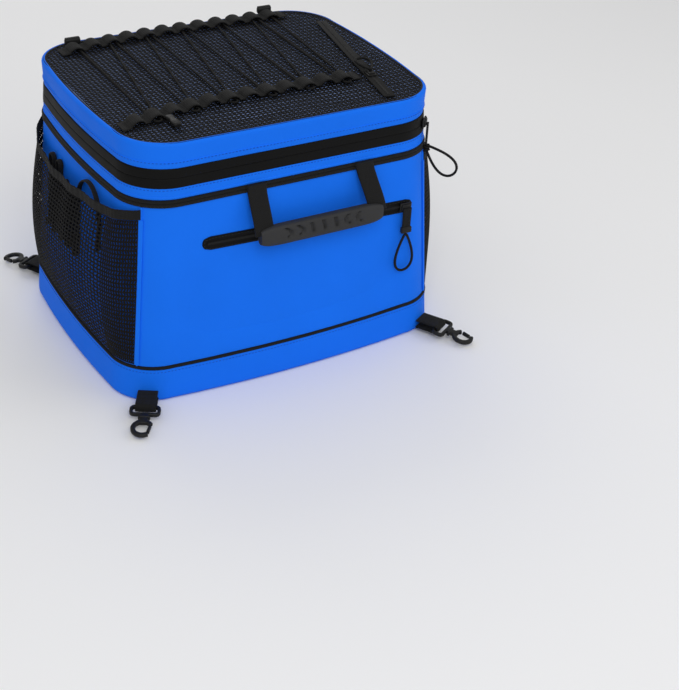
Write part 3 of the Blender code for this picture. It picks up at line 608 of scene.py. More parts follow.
    @staticmethod
    def close_floor(bm: bmesh.types.BMesh, level: float) -> None:
        """Fill the open edge of a cup that lies below a level."""
        hole = [edge for edge in bm.edges if edge.is_boundary and edge.verts[0].co.z < level]
        bmesh.ops.edgeloop_fill(bm, edges=hole)

    @staticmethod
    def join(parts: Iterable[bmesh.types.BMesh]) -> bmesh.types.BMesh:
        """One mesh of several, which are used up."""
        whole = bmesh.new()
        for part in parts:
            mesh = bpy.data.meshes.new("join")
            part.to_mesh(mesh)
            part.free()
            whole.from_mesh(mesh)
            bpy.data.meshes.remove(mesh)
        return whole

    @staticmethod
    def stitches(spots: Iterable[tuple[Vector, Vector]], out: Callable[[Vector], Vector],
                 length: float = 0.0030, thick: float = 0.0008) -> bmesh.types.BMesh:
        """A row of sewn stitches, each a small rounded bead along the row.

        Args:
            spots: Place and direction of each stitch.
            out: Direction out of the cloth at a place.
            length: Length of a stitch.
            thick: Thickness of the thread.

        Returns:
            The row.
        """
        bm = bmesh.new()
        for place, way in spots:
            lift = out(place)
            side = lift.cross(way).normalized()
            turn = Matrix((way * length / 2, side * thick / 2, lift * thick / 2)).transposed().to_4x4()
            spot = Matrix.Translation(place) @ turn
            bmesh.ops.create_icosphere(bm, subdivisions=1, radius=1.0, matrix=spot)
        return bm

    @staticmethod
    def place(origin: Vector, x_axis: Vector, z_axis: Vector) -> Matrix:
        """A matrix from an origin, the direction of X and the direction of Z."""
        x_axis, z_axis = x_axis.normalized(), z_axis.normalized()
        turn = Matrix((x_axis, z_axis.cross(x_axis), z_axis)).transposed().to_4x4()
        return Matrix.Translation(origin) @ turn

    @staticmethod
    def piece(name: str, bm: bmesh.types.BMesh, finish: Finish, body: str, replaces: Sequence[str] = (),
              crease: float = 35.0, turned: bool = True) -> bpy.types.Object:
        """Finish a mesh as a piece of the bag.

        Args:
            name: Name of the piece.
            bm: Its mesh, which is used up.
            finish: Its finish.
            body: Body that it rides on.
            replaces: CAD nodes that it stands for.
            crease: Angle in degrees above which an edge stays sharp.
            turned: Turn the faces outwards first.

        Returns:
            The piece.
        """
        if turned:
            bmesh.ops.recalc_face_normals(bm, faces=bm.faces)
        mesh = bpy.data.meshes.new(name)
        bm.to_mesh(mesh)
        bm.free()
        mesh.shade_smooth()
        mesh.set_sharp_from_angle(angle=math.radians(crease))
        mesh.materials.append(finish.material())
        obj = bpy.data.objects.new(name, mesh)
        bpy.context.scene.collection.objects.link(obj)
        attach(obj, body)
        if replaces:
            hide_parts(*replaces)
        LOG.info("%s: %d faces on %s", name, len(mesh.polygons), body)
        return obj


@dataclass(frozen=True)
class Outline:
    """The rounded, tapering outline that every band of the bag follows."""

    height: float = 0.320
    lid_size: tuple[float, float] = (0.384, 0.316)
    base_size: tuple[float, float] = (0.432, 0.338)
    corner_radius: float = 0.056
    least_radius: float = 0.004
    side_bow: float = 0.005
    front_bow: float = 0.008
    bow_levels: tuple[float, float] = (0.052, 0.105)
    arc_steps: int = 14
    side_steps: int = 26

    @property
    def block(self) -> int:
        """Seats of one corner and the side after it."""
        return self.arc_steps + self.side_steps

    @property
    def count(self) -> int:
        """Seats all the way round."""
        return 4 * self.block

    def half_sizes(self, z: float) -> tuple[float, float]:
        """Half width and half depth at a height."""
        share = z / self.height
        return tuple((b + (t - b) * share) / 2 for b, t in zip(self.base_size, self.lid_size))

    def front_swell(self, z: float) -> float:
        """How far the middle of the front swells forward at a height: fully at the base, not at the zip."""
        full, end = self.bow_levels
        share = min(max((end - z) / (end - full), 0.0), 1.0)
        return self.front_bow * ease(share)

    def point(self, z: float, inset: float, seat: float) -> Vector:
        """A point of the outline.

        Args:
            z: Height.
            inset: Distance in from the skin.
            seat: Place round the outline, anticlockwise from the front right corner.

        Returns:
            The point.
        """
        half_w, half_d = (half - inset for half in self.half_sizes(z))
        radius = max(self.corner_radius - inset, self.least_radius)
        run_x, run_y = half_w - radius, half_d - radius
        corner, local = divmod(seat, self.block)
        corner = int(corner) % 4
        if local <= self.arc_steps:
            turn = math.radians(90.0 * (corner - 1 + local / self.arc_steps))
            sign_x = 1.0 if corner in (0, 1) else -1.0
            sign_y = 1.0 if corner in (1, 2) else -1.0
            reach_x, reach_y = radius * math.cos(turn), radius * math.sin(turn)
            return Vector((sign_x * run_x + reach_x, sign_y * run_y + reach_y, z))
        along = 2.0 * (local - self.arc_steps) / self.side_steps - 1.0
        swell = 1.0 - along ** 2
        bow = self.side_bow * swell
        return Vector((*(
            (half_w + bow, along * run_y),
            (-along * run_x, half_d),
            (-half_w - bow, -along * run_y),
            (along * run_x, -half_d - self.front_swell(z) * swell),
        )[corner], z))

    def outward(self, seat: float, z: float) -> Vector:
        """Level direction out of the skin at a place."""
        return (self.point(z, -0.001, seat) - self.point(z, 0.0, seat)).normalized()

    def ring(self, z: float, inset: float = 0.0) -> Ring:
        """All seats of the outline at a height."""
        return [self.point(z, inset, seat) for seat in range(self.count)]

    def rings(self, profile: Profile, relief: Callable[[Vector], float] | None = None) -> list[Ring]:
        """Rings for a section of the wall.

        Args:
            profile: The section's points, as height and inset.
            relief: Small height of the cloth out of its even surface at a point.

        Returns:
            A ring for each point of the section.
        """
        rings = [self.ring(z, inset) for z, inset in profile]
        if relief:
            for ring in rings:
                for seat, point in enumerate(ring):
                    point += self.outward(seat, point.z) * relief(point)
        return rings

    def band(self, name: str, profile: Profile, finish: Finish, body: str, replaces: Sequence[str] = (),
             relief: Callable[[Vector], float] | None = None) -> bpy.types.Object:
        """Make a band with a closed section, all the way round."""
        return Maker.piece(name, Maker.skin(self.rings(profile, relief), True), finish, body, replaces)

    def front_y(self, x: float, z: float) -> float:
        """Y of the front skin at a place across it and a height."""
        half_w, half_d = self.half_sizes(z)
        over = max(abs(x) - (half_w - self.corner_radius), 0.0)
        return self.corner_radius - half_d - math.sqrt(self.corner_radius ** 2 - over ** 2)

    def sewn(self, z: float, proud: float, pitch: float = 0.0042) -> bmesh.types.BMesh:
        """A row of stitches all the way round at a height."""
        return Maker.stitches(Maker.even(self.ring(z, -proud), pitch, True), self.level_out)

    def level_out(self, place: Vector) -> Vector:
        """Rough level direction out of the bag at a place."""
        half_w, half_d = self.half_sizes(place.z)
        inner_x = max(half_w - self.corner_radius, 0.0)
        inner_y = max(half_d - self.corner_radius, 0.0)
        core = Vector((min(max(place.x, -inner_x), inner_x), min(max(place.y, -inner_y), inner_y), place.z))
        return (place - core).normalized()


OUTLINE = Outline()


def arc_profile(centre: tuple[float, float], radius: float, start: float, end: float,
                steps: int) -> list[tuple[float, float]]:
    """Section points on an arc."""
    turns = [math.radians(angle) for angle in spread(start, end, steps)]
    return [(centre[0] + radius * math.sin(t), centre[1] - radius * math.cos(t)) for t in turns]


def cloth_relief(scale: float, height: float) -> Callable[[Vector], float]:
    """A gentle unevenness of soft cloth.

    Args:
        scale: Swells to the metre.
        height: Height of the swells.

    Returns:
        A function of the place that gives the cloth's height there.
    """
    def relief(point: Vector) -> float:
        """Height of the cloth at a place."""
        return height * (noise.noise(point * scale) + 0.35 * noise.noise(point * scale * 2.7))
    return relief


@dataclass
class Base:
    """Bottom sheet, base band and the piping above it."""

    proud: float = 0.0014
    round_radius: float = 0.0075
    piping_proud: float = 0.0024
    band_rows: int = 6
    floor_insets: tuple[float, ...] = (0.06, 0.03, 0.016)
    stitch_drop: float = 0.0032
    thread_proud: float = 0.0002

    def build(self) -> None:
        """Make the base cup, its piping and its row of stitches."""
        top = node_span("base_band")[1]
        middle = (self.round_radius, self.round_radius - self.proud)
        profile = [(0.0, inset) for inset in self.floor_insets]
        profile += arc_profile(middle, self.round_radius, -90.0, 0.0, 6)
        profile += [(z, -self.proud) for z in spread(profile[-1][0], top, self.band_rows)[1:]]
        profile += [(top, SKIN)]
        relief = cloth_relief(17.0, 0.0005)
        rings = OUTLINE.rings(profile)
        for ring in rings[len(self.floor_insets):-1]:
            for seat, point in enumerate(ring):
                point += OUTLINE.outward(seat, point.z) * relief(point) * min(point.z / top, 1.0)
        bm = Maker.skin(rings)
        Maker.close_floor(bm, self.round_radius / 2)
        Maker.piece("base_cup", bm, BLUE, Body.BAG, ("base_band", "base_panel"))
        self.build_piping()
        row = OUTLINE.sewn(top - self.stitch_drop, self.proud + self.thread_proud)
        Maker.piece("base_stitches", row, BLUE_THREAD, Body.BAG)

    def build_piping(self) -> None:
        """Make the round piping."""
        low, high = node_span("base_piping")
        middle = (low + high) / 2
        radius = (high - low) / 2
        bead = arc_profile((middle, radius - self.piping_proud), radius, -100.0, 100.0, 10)
        profile = [(low, SKIN)] + bead + [(high, SKIN)]
        OUTLINE.band("base_piping_cord", profile, BINDING, Body.BAG, ("base_piping",))


@dataclass
class BodyWall:
    """Coated wall of the body, with the corner welts, binding, collar, lower zip tape and liner."""

    rows: int = 26
    welt_radius: float = 0.0016
    trim_proud: float = 0.0016
    trim_edge: float = 0.0012
    trim_flat: float = 0.45
    trim_step: tuple[float, float] = (0.0042, 0.0006)
    bead_drop: float = 0.0021
    bead_radius: float = 0.0018
    trim_stitch_rise: float = 0.0022
    fold_height: float = 0.0034
    fold_proud: float = 0.0007
    fold_edges: tuple[float, float] = (0.0012, 0.0008)
    collar_proud: float = 0.0002
    collar_stitch_drop: float = 0.0022
    liner_outside: float = 0.0135
    liner: float = 0.0010
    liner_lip: float = 0.003
    liner_cove: float = 0.014
    floor_insets: tuple[float, float] = (0.07, 0.12)

    def build(self) -> None:
        """Make the wall from the piping up to the zip, and the liner inside it."""
        low, high = node_span("body_shell")
        profile = [(low, SKIN)] + [(z, 0.0) for z in spread(low, high, self.rows)] + [(high, SKIN)]
        OUTLINE.band("body_wall", profile, BLUE, Body.BAG, ("body_shell",), cloth_relief(15.0, 0.0007))
        self.build_welts(low, high)
        self.build_binding()
        self.build_collar()
        self.build_lower_tape()
        self.build_liner()

    def build_welts(self, low: float, high: float) -> None:
        """Make the four corner welts where the front and rear panels meet the sides."""
        parts = []
        for corner in range(4):
            seat = corner * OUTLINE.block + OUTLINE.arc_steps / 2
            path = [OUTLINE.point(z, 0.0, seat) for z in spread(low, high, 20)]
            parts.append(Maker.tube(path, self.welt_radius, False, 8))
        Maker.piece("corner_welts", Maker.join(parts), BLUE, Body.BAG)

    def build_binding(self) -> None:
        """Make the black binding with its bead, and the stitches on it."""
        low, high = node_span("trim_binding")
        proud = -self.trim_proud
        step_drop, step_in = self.trim_step
        bead = arc_profile((high - self.bead_drop, -GAP), self.bead_radius, -80.0, 80.0, 6)
        profile = [(low, SKIN), (low, proud + self.trim_edge), (low + self.trim_edge / 2, proud)]
        profile += [(low + (high - low) * self.trim_flat, proud), (high - step_drop, proud + step_in)]
        profile += bead + [(high, SKIN)]
        OUTLINE.band("binding_band", profile, BINDING, Body.BAG, ("trim_binding",))
        row = OUTLINE.sewn(low + self.trim_stitch_rise, self.trim_proud)
        Maker.piece("binding_stitches", row, BLACK_THREAD, Body.BAG)

    def build_collar(self) -> None:
        """Make the blue collar between the binding and the zip."""
        low, high = node_span("collar_band")
        fold = low + self.fold_height
        fold_low, fold_high = low + self.fold_edges[0], fold - self.fold_edges[1]
        profile = [(low, SKIN), (low, 0.0)]
        profile += [(fold_low, -self.fold_proud), (fold_high, -self.fold_proud), (fold, 0.0)]
        profile += [(z, -self.collar_proud) for z in spread(fold, high, 4)[1:]] + [(high, SKIN)]
        OUTLINE.band("collar", profile, BLUE, Body.BAG, ("collar_band",), cloth_relief(19.0, 0.0003))
        row = OUTLINE.sewn(high - self.collar_stitch_drop, GAP)
        Maker.piece("collar_stitches", row, BLUE_THREAD, Body.BAG)

    def build_lower_tape(self) -> None:
        """Make the lower half of the film-faced main zip."""
        profile = zip_profile(*node_span("zip_tape_lower"))
        OUTLINE.band("main_zip_lower", profile, ZIP, Body.BAG, ("zip_tape_lower",))

    def build_liner(self) -> None:
        """Make the welded liner: a cup with a rolled flange at its mouth."""
        floor, top = node_span("inner_liner")
        inside = self.liner_outside + self.liner
        cove, lip = self.liner_cove, self.liner_lip
        middle = (floor + self.liner + cove, inside + cove)
        profile = [(top - self.liner, SKIN + GAP), (top, SKIN + GAP)]
        profile += arc_profile((top - lip, inside - lip), lip, 90.0, 180.0, 4)
        profile += [(z, inside) for z in spread(top, middle[0], 10)[1:-1]]
        profile += arc_profile(middle, cove, 0.0, -90.0, 5)
        profile += [(floor + self.liner, inset) for inset in self.floor_insets]
        bm = Maker.skin(OUTLINE.rings(profile))
        Maker.close_floor(bm, floor + cove / 3)
        bmesh.ops.recalc_face_normals(bm, faces=bm.faces)
        obj = Maker.piece("liner_cup", bm, LINER, Body.BAG, ("inner_liner",), turned=False)
        mesh = obj.data
        if sum(p.normal.z * p.area for p in mesh.polygons) < 0.0:
            mesh.flip_normals()


def zip_profile(low: float, high: float) -> list[tuple[float, float]]:
    """Section of one half of the main zip.

    Args:
        low: Its lower edge.
        high: Its upper edge.

    Returns:
        The section, with a slight crown.
    """
    edge, crown = ZIP_PROUD - 0.0004, 0.0001
    profile = [(low, SKIN), (low, -edge)]
    for share in (0.06, 0.2, 0.4, 0.6, 0.8, 0.94):
        profile.append((low + (high - low) * share, -ZIP_PROUD - crown * math.sin(math.pi * share)))
    return profile + [(high, -edge), (high, SKIN)]


@dataclass
class Lid:
    """The lid's rim, panel, liner, upper zip tape and stretched net."""

    flare: float = 0.004
    edge_round: float = 0.0034
    seam_rise: float = 0.0085
    seam_proud: float = 0.0018
    seam_form: tuple[tuple[float, float], ...] = ((0.0022, 0.0016), (0.0006, 0.0018))
    seam_stitch_drop: float = 0.0016
    roll_form: tuple[tuple[float, float], ...] = ((0.0020, 0.0046), (0.0055, 0.0024))
    sheet_insets: tuple[float, float] = (0.01, 0.10)
    net_pitch: tuple[float, float] = (0.0056, 0.0050)
    net_yarn: float = 0.42
    net_thick: float = 0.0005
    net_sag: float = 0.0022
    net_tuck: float = 0.0008
    binding_form: tuple[tuple[float, float], ...] = (
        (0.0012, -0.0006), (0.0001, 0.0), (0.0, 0.0015), (0.0003, 0.0030), (0.0014, 0.0030))
    net_share: float = 0.97
    sag_reach: float = 0.03
    sag_swells: float = 14.0

    def build(self) -> None:
        """Make the lid without its rigging."""
        self.build_rim()
        profile = zip_profile(*node_span("zip_tape_upper"))
        OUTLINE.band("main_zip_upper", profile, ZIP, Body.LID, ("zip_tape_upper",))
        # The panel under the net is painted a paler blue than the cloth, as painted light that brightens the
        # net's holes.
        self.build_slab("lid_top_cloth", "lid_panel", LID_PANEL_PAINTED_LIGHT)
        self.build_slab("lid_liner_cloth", "lid_liner", LINER)
        self.build_net()

    def rim_inset(self, z: float) -> float:
        """Inset of the rim's skin at a height: it flares out from its seam to its top edge."""
        low, top = node_span("lid_rim")
        return -self.flare * max(z - low, 0.0) / (top - low)

    def build_rim(self) -> None:
        """Make the blue rim: a flaring wall with a sewn seam, rolled over to hold the net."""
        low, top = node_span("lid_rim")
        seam = low + self.seam_rise
        radius = self.edge_round
        shoulder = top - radius
        profile = [(low, SKIN), (low, 0.0)] + [(seam - drop, -proud) for drop, proud in self.seam_form]
        profile += [(z, self.rim_inset(z)) for z in spread(seam, shoulder, 6)[:-1]]
        profile += arc_profile((shoulder, self.rim_inset(shoulder) + radius), radius, 0.0, 100.0, 8)
        profile += [(top - drop, inset - self.flare) for drop, inset in self.roll_form]
        OUTLINE.band("rim", profile, BLUE, Body.LID, ("lid_rim",), cloth_relief(16.0, 0.0005))
        row = OUTLINE.sewn(seam - self.seam_stitch_drop, self.seam_proud)
        Maker.piece("rim_stitches", row, BLUE_THREAD, Body.LID)

    def build_slab(self, name: str, node: str, finish: Finish) -> None:
        """Make a flat sheet of the lid with a rounded outline.

        Args:
            name: Name of the piece.
            node: CAD node that it stands for.
            finish: Its finish.
        """
        low, high = node_span(node)
        inset = SKIN + GAP + self.rim_inset((low + high) / 2)
        step, core = self.sheet_insets
        insets = (core, inset + step, inset)
        profile = [(low, value) for value in insets] + [(high, value) for value in reversed(insets)]
        Maker.piece(name, Maker.skin(OUTLINE.rings(profile), False, True), finish, Body.LID, (node,))

    def build_net(self) -> None:
        high = node_span("lid_mesh")[1]
        inset = self.edge_round - self.flare - self.net_tuck
        half_w, half_d = OUTLINE.half_sizes(high)
        width, depth = 2 * (half_w - inset), 2 * (half_d - inset)
        radius = OUTLINE.corner_radius - inset

        def on_lid(u: float, v: float) -> Vector:
            """Place of the net, drawn in to the rounded outline where it would lie outside."""
            x, y = (u - 0.5) * width, (v - 0.5) * depth
            core_x, core_y = width / 2 - radius, depth / 2 - radius
            over = Vector((max(abs(x) - core_x, 0.0), max(abs(y) - core_y, 0.0)))
            if over.length > radius:
                over *= radius / over.length
                x = math.copysign(min(abs(x), core_x) + over.x, x)
                y = math.copysign(min(abs(y), core_y) + over.y, y)
            edge = min(width / 2 - abs(x), depth / 2 - abs(y))
            sag = self.net_sag * min(edge / self.sag_reach, 1.0)
            swell = noise.noise(Vector((x, y, 0.0)) * self.sag_swells)
            return Vector((x, y, high - GAP - sag * (0.6 + 0.4 * swell)))

        net = Net(self.net_pitch, self.net_yarn, self.net_thick)
        piece = net.build("lid_net", on_lid, (width, depth), Body.LID, "lid_mesh")
        edge = inset + self.net_tuck
        profile = [(high - drop, edge + inset) for drop, inset in self.binding_form]
        bound = OUTLINE.band("lid_net_binding", profile, BINDING, Body.LID)


@dataclass
class Net:
    """Knitted net: a grid of cells with a hole in each, every second row shifted by half a cell."""

    pitch: tuple[float, float]
    yarn: float
    thick: float
    least_cell: float = 0.12

    @property
    def strand(self) -> float:
        """Width of the yarn between two holes."""
        return self.yarn * min(self.pitch)

    def build(self, name: str, surface: Callable[[float, float], Vector], size: tuple[float, float],
              body: str, node: str) -> bpy.types.Object:
        """Make the net on a surface.

        Args:
            name: Name of the piece.
            surface: Place of the net for two shares from 0 to 1.
            size: Width and length of the surface.
            body: Body that the net rides on.
            node: CAD node that it stands for.

        Returns:
            The piece.
        """
        across = int(size[0] / self.pitch[0])
        along = int(size[1] / self.pitch[1])
        bm = bmesh.new()
        bmesh.ops.create_grid(bm, x_segments=across, y_segments=along, size=0.5)
        for vert in bm.verts:
            u, v = vert.co.x + 0.5, vert.co.y + 0.5
            row = round(v * along)
            inside = 0.5 / across < u < 1.0 - 0.5 / across
            shift = (0.25 if row % 2 else -0.25) / across if inside else 0.0
            vert.co = surface(u + shift, v)
        least = self.least_cell * math.prod(self.pitch)
        small = [face for face in bm.faces if face.calc_area() < least]
        bmesh.ops.delete(bm, geom=small, context="FACES")
        holes = list(bm.faces)
        bmesh.ops.inset_individual(bm, faces=holes, thickness=self.strand / 2, use_even_offset=True)
        bmesh.ops.delete(bm, geom=holes, context="FACES")
        piece = Maker.piece(name, bm, NET, body, (node,), 180.0)
        wall = piece.modifiers.new("yarn", "SOLIDIFY")
        wall.thickness = self.thick
        wall.offset = 0.0
        return piece


@dataclass
class Rigging:
    """Daisy chains, bungee lacing, cord locks and clip on the lid."""

    loops: int = 12
    width: float = 0.022
    rise: float = 0.0056
    tail: float = 0.0075
    bungee: float = 0.0026
    turn: float = 0.0045
    sewn_share: float = 0.12
    lean: float = 0.0016
    tack_reach: float = 0.42
    tack_apart: float = 0.0009
    lock_barrel: float = 0.68
    lock_button: tuple[float, float, float] = (0.72, 0.34, 0.72)
    lock_rounds: tuple[float, float] = (0.0028, 0.0016)
    lock_rib: tuple[float, float, float] = (0.9, 0.0009, 0.0008)
    lock_ribs: tuple[float, ...] = (0.18, 0.30, 0.42, 0.54)
    clip_rib: tuple[float, float, float] = (0.62, 0.0010, 0.0010)
    clip_ribs: tuple[float, ...] = (0.20, 0.27, 0.34, 0.41)
    clip_form: tuple[tuple[float, float, float], ...] = (
        (0.0, 0.34, 0.5), (0.04, 0.42, 0.7), (0.16, 0.47, 0.9), (0.42, 0.5, 1.0), (0.52, 0.38, 0.86),
        (0.62, 0.36, 0.8), (0.74, 0.48, 0.95), (0.92, 0.44, 0.8), (1.0, 0.34, 0.5))

    def __post_init__(self) -> None:
        """Read the chains' places, and how far their left halves bend forward, from the frame."""
        self.level = node_span("bungee_cord")[0]
        self.middles, self.bends = {}, {}
        for facing in Facing:
            box = NodeBox.of(facing.name.lower() + "_daisy_chain")
            self.middles[facing] = Vector((box.middle.x, box.high.y - self.width / 2, self.level))
            self.pitch = (box.size.x - 2 * self.tail) / self.loops
            half = self.loops * self.pitch / 2
            self.bends[facing] = (box.size.y - self.width) / (1.0 + self.tail / half) ** 2

    def chain_y(self, facing: Facing, x: float) -> float:
        """Place from front to rear of a chain's middle line, at a place across the lid."""
        middle = self.middles[facing]
        share = max((middle.x - x) / (self.loops * self.pitch / 2), 0.0)
        return middle.y - self.bends[facing] * share ** 2

    def loop_x(self, facing: Facing, loop: float) -> float:
        """Middle of one loop of a chain across the lid."""
        return self.middles[facing].x + (loop - (self.loops - 1) / 2) * self.pitch

    def build(self) -> None:
        """Make all of the rigging."""
        for facing in Facing:
            self.build_chain(facing)
        cord = self.build_bungee()
        locks = [self.build_lock(side) for side in Side]
        self.build_clip()
        path = self.route()
        Maker.distances(path)[-1]

    def build_chain(self, facing: Facing) -> None:
        """Make one chain of webbing loops and the bar tacks between them.

        Args:
            facing: Edge of the lid that the chain runs along.
        """
        node = facing.name.lower() + "_daisy_chain"
        base = self.level + WEBBING_THICK / 2
        reach = self.pitch * (0.5 - self.sewn_share)
        places = [(self.loop_x(facing, 0) - self.pitch / 2 - self.tail, base)]
        for loop in range(self.loops):
            swing = noise.noise(Vector((loop * 1.7, facing.value * 3.1, 0.4)))
            for along in spread(-1.0, 1.0, 12):
                lift = self.rise * (0.9 + 0.12 * swing) * max(math.cos(math.pi / 2 * along), 0.0) ** 0.6
                lean = self.lean * swing * (1.0 - along ** 2)
                places.append((self.loop_x(facing, loop) + reach * along + lean, base + lift))
        places.append((self.loop_x(facing, self.loops - 1) + self.pitch / 2 + self.tail, base))
        path = [Vector((x, self.chain_y(facing, x), z)) for x, z in places]
        section = Maker.strap_section(self.width, WEBBING_THICK, 4)
        webbing = Maker.bar(path, section, REARWARD)
        Maker.piece(node + "_webbing", webbing, STRAP, Body.LID, (node,), ROUND_CREASE)
        tacks = []
        for loop in range(self.loops + 1):
            x = self.loop_x(facing, loop) - self.pitch / 2
            y = self.chain_y(facing, x)
            reach, z = self.width * self.tack_reach, base + WEBBING_THICK / 2
            for aside in (-self.tack_apart, self.tack_apart):
                moved = [Vector((x + aside, y + end, z)) for end in (-reach, reach)]
                tacks.append(Maker.stitches(Maker.even(moved, 0.0018), lambda place: UP, 0.0017, 0.0007))
        Maker.piece(node + "_tacks", Maker.join(tacks), STRAP, Body.LID)

    def route(self) -> list[Vector]:
        """The lacing's points: a zigzag through every second loop of each chain, from lock to lock."""
        z = self.level + self.bungee / 2
        half = self.width / 2
        turn = self.turn
        points = []
        for loop in range(self.loops):
            facing = Facing.FRONT if loop % 2 else Facing.REAR
            outward = float(facing.value)
            x = self.loop_x(facing, loop)
            y = self.chain_y(facing, x)
            near, far = y - outward * half, y + outward * half
            if loop == 0:
                points += [Vector((x + turn, far + GAP, z)), Vector((x + turn, near, z))]
                continue
            points += [Vector((x - turn, near, z)), Vector((x - turn, far, z))]
            for angle in spread(0.0, math.pi, 12)[1:-1]:
                points.append(Vector((x - turn * math.cos(angle), far + outward * turn * math.sin(angle), z)))
            points += [Vector((x + turn, far, z)), Vector((x + turn, near, z))]
        x, y = self.loop_x(Facing.REAR, self.loops - 1), self.middles[Facing.REAR].y
        return points + [Vector((x, y - half, z)), Vector((x, y + half + GAP, z))]

    def build_bungee(self) -> bpy.types.Object:
        """Make the lacing cord."""
        tube = Maker.tube(self.route(), self.bungee / 2)
        return Maker.piece("bungee_lacing", tube, CORD, Body.LID, ("bungee_cord",), ROUND_CREASE)

    def build_lock(self, side: Side) -> bpy.types.Object:
        """Make a cord lock: a ribbed barrel with a sprung button.

        Args:
            side: Side of the lid.

        Returns:
            The piece.
        """
        node = "cord_lock_" + side.name.lower()
        box = NodeBox.of(node)
        size, middle = box.size, box.middle
        share = self.lock_barrel
        barrel = Maker.block((size.x, size.y * share, size.z), self.lock_rounds[0],
                             Matrix.Translation(middle - REARWARD * size.y * (1.0 - share) / 2), 4)
        form = [whole * part for whole, part in zip(size, self.lock_button)]
        button = Maker.block(form, self.lock_rounds[1],
                             Matrix.Translation(middle + REARWARD * (size.y - form[1]) / 2))
        ribs = self.ribs(box, self.lock_rib, self.lock_ribs, 0.0002, 0.0003)
        lock = Maker.join([barrel, button] + ribs)
        return Maker.piece(node + "_barrel", lock, PLASTIC, Body.LID, (node,), MOULD_CREASE)

    @staticmethod
    def ribs(box: NodeBox, form: Sequence[float], shares: Iterable[float], sunk: float,
             edge: float) -> list[bmesh.types.BMesh]:
        """Ribs across the top of a piece of hardware.

        Args:
            box: Box of the piece.
            form: Length of a rib as a share of the piece's width, then its width and height.
            shares: Places of the ribs along the piece, from 0 to 1.
            sunk: Depth of their middles below the top.
            edge: Rounding of their edges.

        Returns:
            The ribs.
        """
        size = (box.size.x * form[0], *form[1:])
        level = box.high.z - sunk
        return [Maker.block(size, edge, shift(box.middle.x, box.low.y + box.size.y * share, level), 2)
                for share in shares]

    def build_clip(self) -> None:
        """Make the cord clip: a tapered body with a waist, and ribs on top."""
        box = NodeBox.of("cord_clip")
        size, middle = box.size, box.middle
        rings = []
        for share, wide, tall in self.clip_form:
            y = box.low.y + size.y * share
            rings.append([Vector((middle.x + size.x * wide * a, y, middle.z + size.z / 2 * tall * b))
                          for a, b in Maker.squircle(20, 0.6)])
        ribs = self.ribs(box, self.clip_rib, self.clip_ribs, 0.0006, 0.0004)
        clip = Maker.join([Maker.skin(rings, False, True)] + ribs)
        Maker.piece("cord_clip_body", clip, PLASTIC, Body.LID, ("cord_clip",), MOULD_CREASE)


